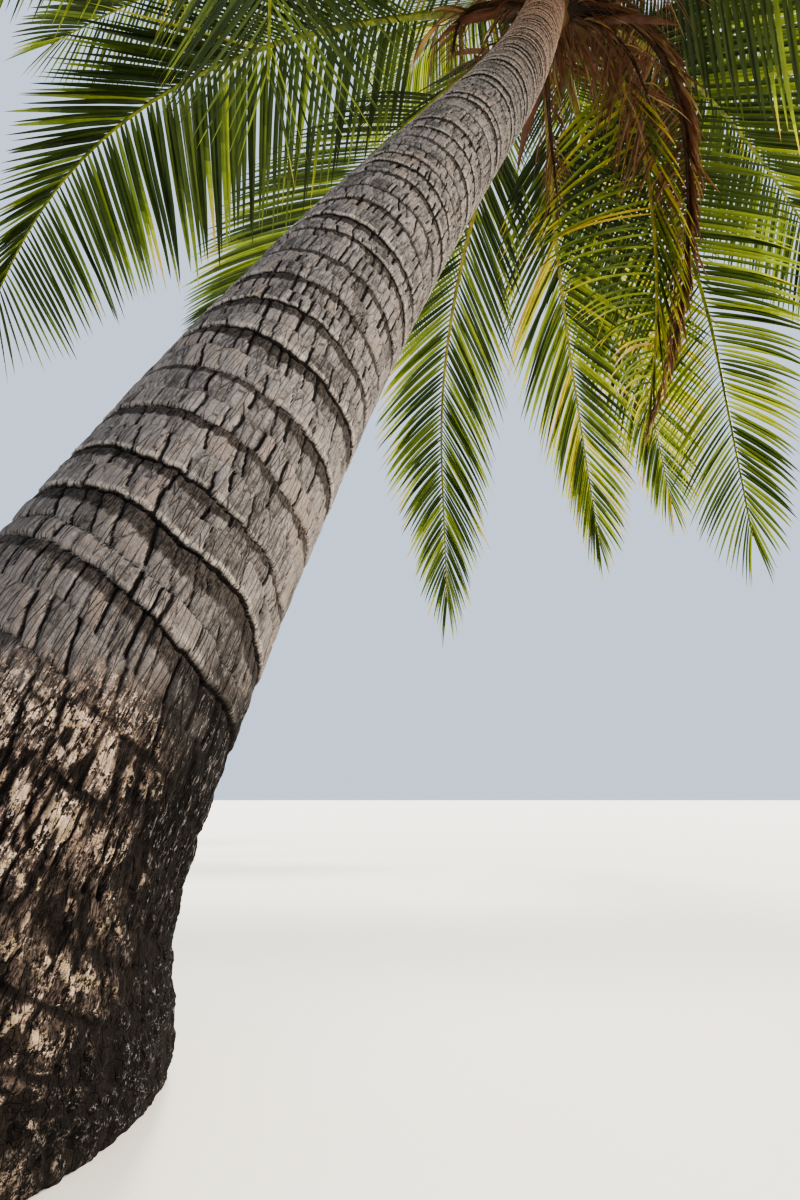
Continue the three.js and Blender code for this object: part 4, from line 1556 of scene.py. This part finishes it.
def spear_shape(theta, share):
    lift = HEART_HEIGHT - SPEAR_SUNK + (SPEAR_LENGTH + SPEAR_SUNK) * share
    pleats = PLEAT_DEPTH * np.cos(theta * PLEATS + lift * PLEAT_TURN)
    pleats = 1 + pleats * smooth((1 - share) / PLEAT_FADE)
    radius = SPEAR_RADIUS * (1 - SPEAR_TAPER * share ** SPEAR_TAPER_POWER) * pleats
    return round_the_crown(theta, lift, radius)


def fibre_finish(name, low, high):
    """Woven brown fibre: two sets of fine threads that cross."""
    finish = Finish(name)
    place = finish.place()
    along = finish.noise(finish.stretched(place, THREADS_ALONG), 1.0, 3, 0.6)
    crossing = finish.noise(finish.stretched(place, THREADS_ACROSS), 1.0, 2, 0.6)
    weave = along * 0.6 + crossing * 0.4
    patches = finish.noise(place, *HUSK_PATCHES)
    colour = finish.blend(finish.step(weave * 0.7 + patches * 0.4, 0.38, 0.72), low, high)
    return finish.wear(Base_Color=colour, Roughness=HUSK_ROUGHNESS, Specular_IOR_Level=HUSK_SHINE,
                       Normal=finish.bump(weave, HUSK_BUMP, HUSK_BUMP_STRENGTH))


HUSK = fibre_finish("husk_brown", (0.045, 0.025, 0.014), (0.27, 0.165, 0.085))
heart = rolled_sheet("heart", *HEART_GRID, heart_shape)
heart.data.materials.append(HUSK)
spear = rolled_sheet("spear", *SPEAR_GRID, spear_shape)
spear.data.materials.append(LEAVES[LEAF_NUMBER["leaf_lime"]])
for piece, node, slot in ((heart, "crown_heart", "crown_fibre"),
                          (spear, "spear_leaf", "spear_leaf")):
    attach(piece, "root")
    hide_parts(node)
print("heart", HEART_HEIGHT, "m high, spear", SPEAR_LENGTH, "m over it")

# %% [markdown]
# ## Dry rags and flower stalks
# Under a crown hangs what it has shed but not yet dropped: ragged strips of brown fibre, threads,
# and dried flower stalks with their woody boats. They fill the shade between the stalks. Strips,
# threads and boats are copies of the master leaflet again, only broader or thinner, and the
# stems of the flower stalks are copies of the master stalk.

# %% Rags
RAGS, RAG_HALF_WIDTH, RAG_LENGTH, RAG_REACH = 420, 0.009, 0.38, 0.75
THREADS, THREAD_HALF_WIDTH, THREAD_LENGTH, THREAD_REACH = 520, 0.0022, 0.45, 0.9
RAG_SEED, RAG_CROWDING, RAG_OFFSETS = 300, (1.2, 2.6), (-0.9, 0.9)
RAG_LENGTHS, RAG_WIDTHS, RAG_FOLDS, RAG_DROOPS = (0.4, 1.2), (0.5, 1.5), (0.2, 1.2), (1.5, 4)
RAG_STRAY, RAG_CURL, DRY_WAVE = 0.25, 1.8, 0.12
RAG_ROOT_DEPTH, RAG_ALONG, RAG_SIDEWAYS, RAG_DOWN = 0.5, 0.5, 0.8, 0.5
DRY_COLOURS = (("leaf_dead", 0.60), ("leaf_brown", 0.30), ("leaf_straw", 0.10))


def rags(rng, count, half_width, length, reach):
    """Strips that hang from the stalks' feet and the heart."""
    owner = rng.integers(0, len(FRONDS), count)
    away = rng.beta(*RAG_CROWDING, count) * reach
    roots, heading = np.empty((count, 3)), np.empty((count, 3))
    for k, frond in enumerate(FRONDS.values()):
        mine = owner == k
        point, along, side, up = along_midrib(frond, away[mine])
        wide, deep = rib_sizes(away[mine], frond["length"])
        offset = rng.uniform(*RAG_OFFSETS, mine.sum())
        roots[mine] = moved(point, side, up, offset * wide, -RAG_ROOT_DEPTH * deep)
        sideways = side * (offset * RAG_SIDEWAYS)[:, None]
        heading[mine] = unit(along * RAG_ALONG + sideways - UP * RAG_DOWN)
    heading = unit(heading + rng.normal(0, RAG_STRAY, (count, 3)))
    normal = unit(np.cross(heading, rng.normal(0, 1, (count, 3))))
    return dict(
        roots=roots, direction=heading, normal=normal,
        length=length * rng.uniform(*RAG_LENGTHS, count),
        half_width=half_width * rng.uniform(*RAG_WIDTHS, count),
        fold=rng.uniform(*RAG_FOLDS, count), droop=rng.uniform(*RAG_DROOPS, count),
        curl=rng.normal(0, RAG_CURL, count), wave=rng.normal(0, DRY_WAVE, count))


def dry_colours(rng, count):
    """One dry colour for each copy, the same on all its faces."""
    return np.repeat(dealt(rng, DRY_COLOURS, count)[:, None], len(FACES), 1)


rng = np.random.default_rng(RAG_SEED)
strips = bent_leaflets(**rags(rng, RAGS, RAG_HALF_WIDTH, RAG_LENGTH, RAG_REACH))
threads = bent_leaflets(**rags(rng, THREADS, THREAD_HALF_WIDTH, THREAD_LENGTH, THREAD_REACH))
points = np.concatenate([strips, threads])
ragged = mesh_of("crown_rags", points, FACES, dry_colours(rng, len(points)), LEAVES)
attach(ragged, "root")
print(len(points), "rags and threads")

# %% [markdown]
# A flower stalk leaves the heart like a small frond and hangs. Dry sprigs stand on its outer
# half, and the woody boat that once wrapped them still sits on its inner part.

# %% Flower stalks
FLOWER_AZIMUTHS = (186, 232, 281, 326, 12, 74, 131)
FLOWER_RISE, FLOWER_HANG, FLOWER_BEND = 8, 82, 0.8
FLOWER_LENGTH, FLOWER_LENGTHS, FLOWER_LIFTS = 0.82, (0.85, 1.15), (0.03, 0.09)
STEM_RADII = (0.017, 0.005)
SPRIGS, SPRIG_HALF_WIDTH, SPRIG_FOLD, SPRIG_CURL = 34, 0.0038, 0.9, 0.8
SPRIG_PLACES, SPRIG_LENGTHS, SPRIG_DROOPS = (0.45, 1.0), (0.22, 0.38), (0.6, 1.6)
SPRIG_OUT, SPRIG_TURN = 0.5, 0.3
BOAT_PLACE, BOAT_LENGTH, BOAT_HALF_WIDTH, BOAT_FOLD = 0.22, 0.52, 0.040, 1.15


def flower_stalk(rng, azimuth):
    """Measures of a hanging dried flower stalk, like a small frond's."""
    return dict(
        azimuth=azimuth, rise=FLOWER_RISE, hang=FLOWER_HANG, bend=FLOWER_BEND,
        length=FLOWER_LENGTH * rng.uniform(*FLOWER_LENGTHS), lift=rng.uniform(*FLOWER_LIFTS),
        sweep=0, twist=0)


def stem_points(stem):
    point, _, side, up = along_midrib(stem, STALK_SHARES * stem["length"])
    radius = mix(*STEM_RADII, STALK_SHARES) * STALK_REACH
    return moved(point, side, up, np.cos(STALK_ANGLES) * radius, np.sin(STALK_ANGLES) * radius)


def sprigs(rng, stem):
    """Thin dry sprigs on the outer half of a stalk, and its woody boat, which comes last."""
    count = SPRIGS + 1
    share = np.append(rng.uniform(*SPRIG_PLACES, SPRIGS), BOAT_PLACE)
    point, along, side, up = along_midrib(stem, share * stem["length"])
    turn = rng.uniform(0, 2 * np.pi, count)
    out = side * np.cos(turn)[:, None] + up * np.sin(turn)[:, None]
    heading = unit(along + SPRIG_OUT * out)
    length = rng.uniform(*SPRIG_LENGTHS, count)
    half_width = np.full(count, SPRIG_HALF_WIDTH)
    fold = np.full(count, SPRIG_FOLD)
    length[-1], half_width[-1], fold[-1] = BOAT_LENGTH, BOAT_HALF_WIDTH, BOAT_FOLD
    normal = unit(np.cross(heading, side + SPRIG_TURN * out))
    return dict(roots=point, direction=heading, normal=normal, length=length,
                half_width=half_width, fold=fold, droop=rng.uniform(*SPRIG_DROOPS, count),
                curl=rng.normal(0, SPRIG_CURL, count), wave=rng.normal(0, DRY_WAVE, count))


flower_stalks = [flower_stalk(rng, azimuth) for azimuth in FLOWER_AZIMUTHS]
stems = mesh_of_stalks("flower_stems", [stem_points(stem) for stem in flower_stalks], STALK_BROWN)
points = np.concatenate([bent_leaflets(**sprigs(rng, stem)) for stem in flower_stalks])
colours = dry_colours(rng, len(points))
colours[SPRIGS::SPRIGS + 1] = LEAF_NUMBER["leaf_dead"]
dry = mesh_of("flower_sprigs", points, FACES, colours, LEAVES)
for piece in (stems, dry):
    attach(piece, "root")
print(len(flower_stalks), "dried flower stalks")
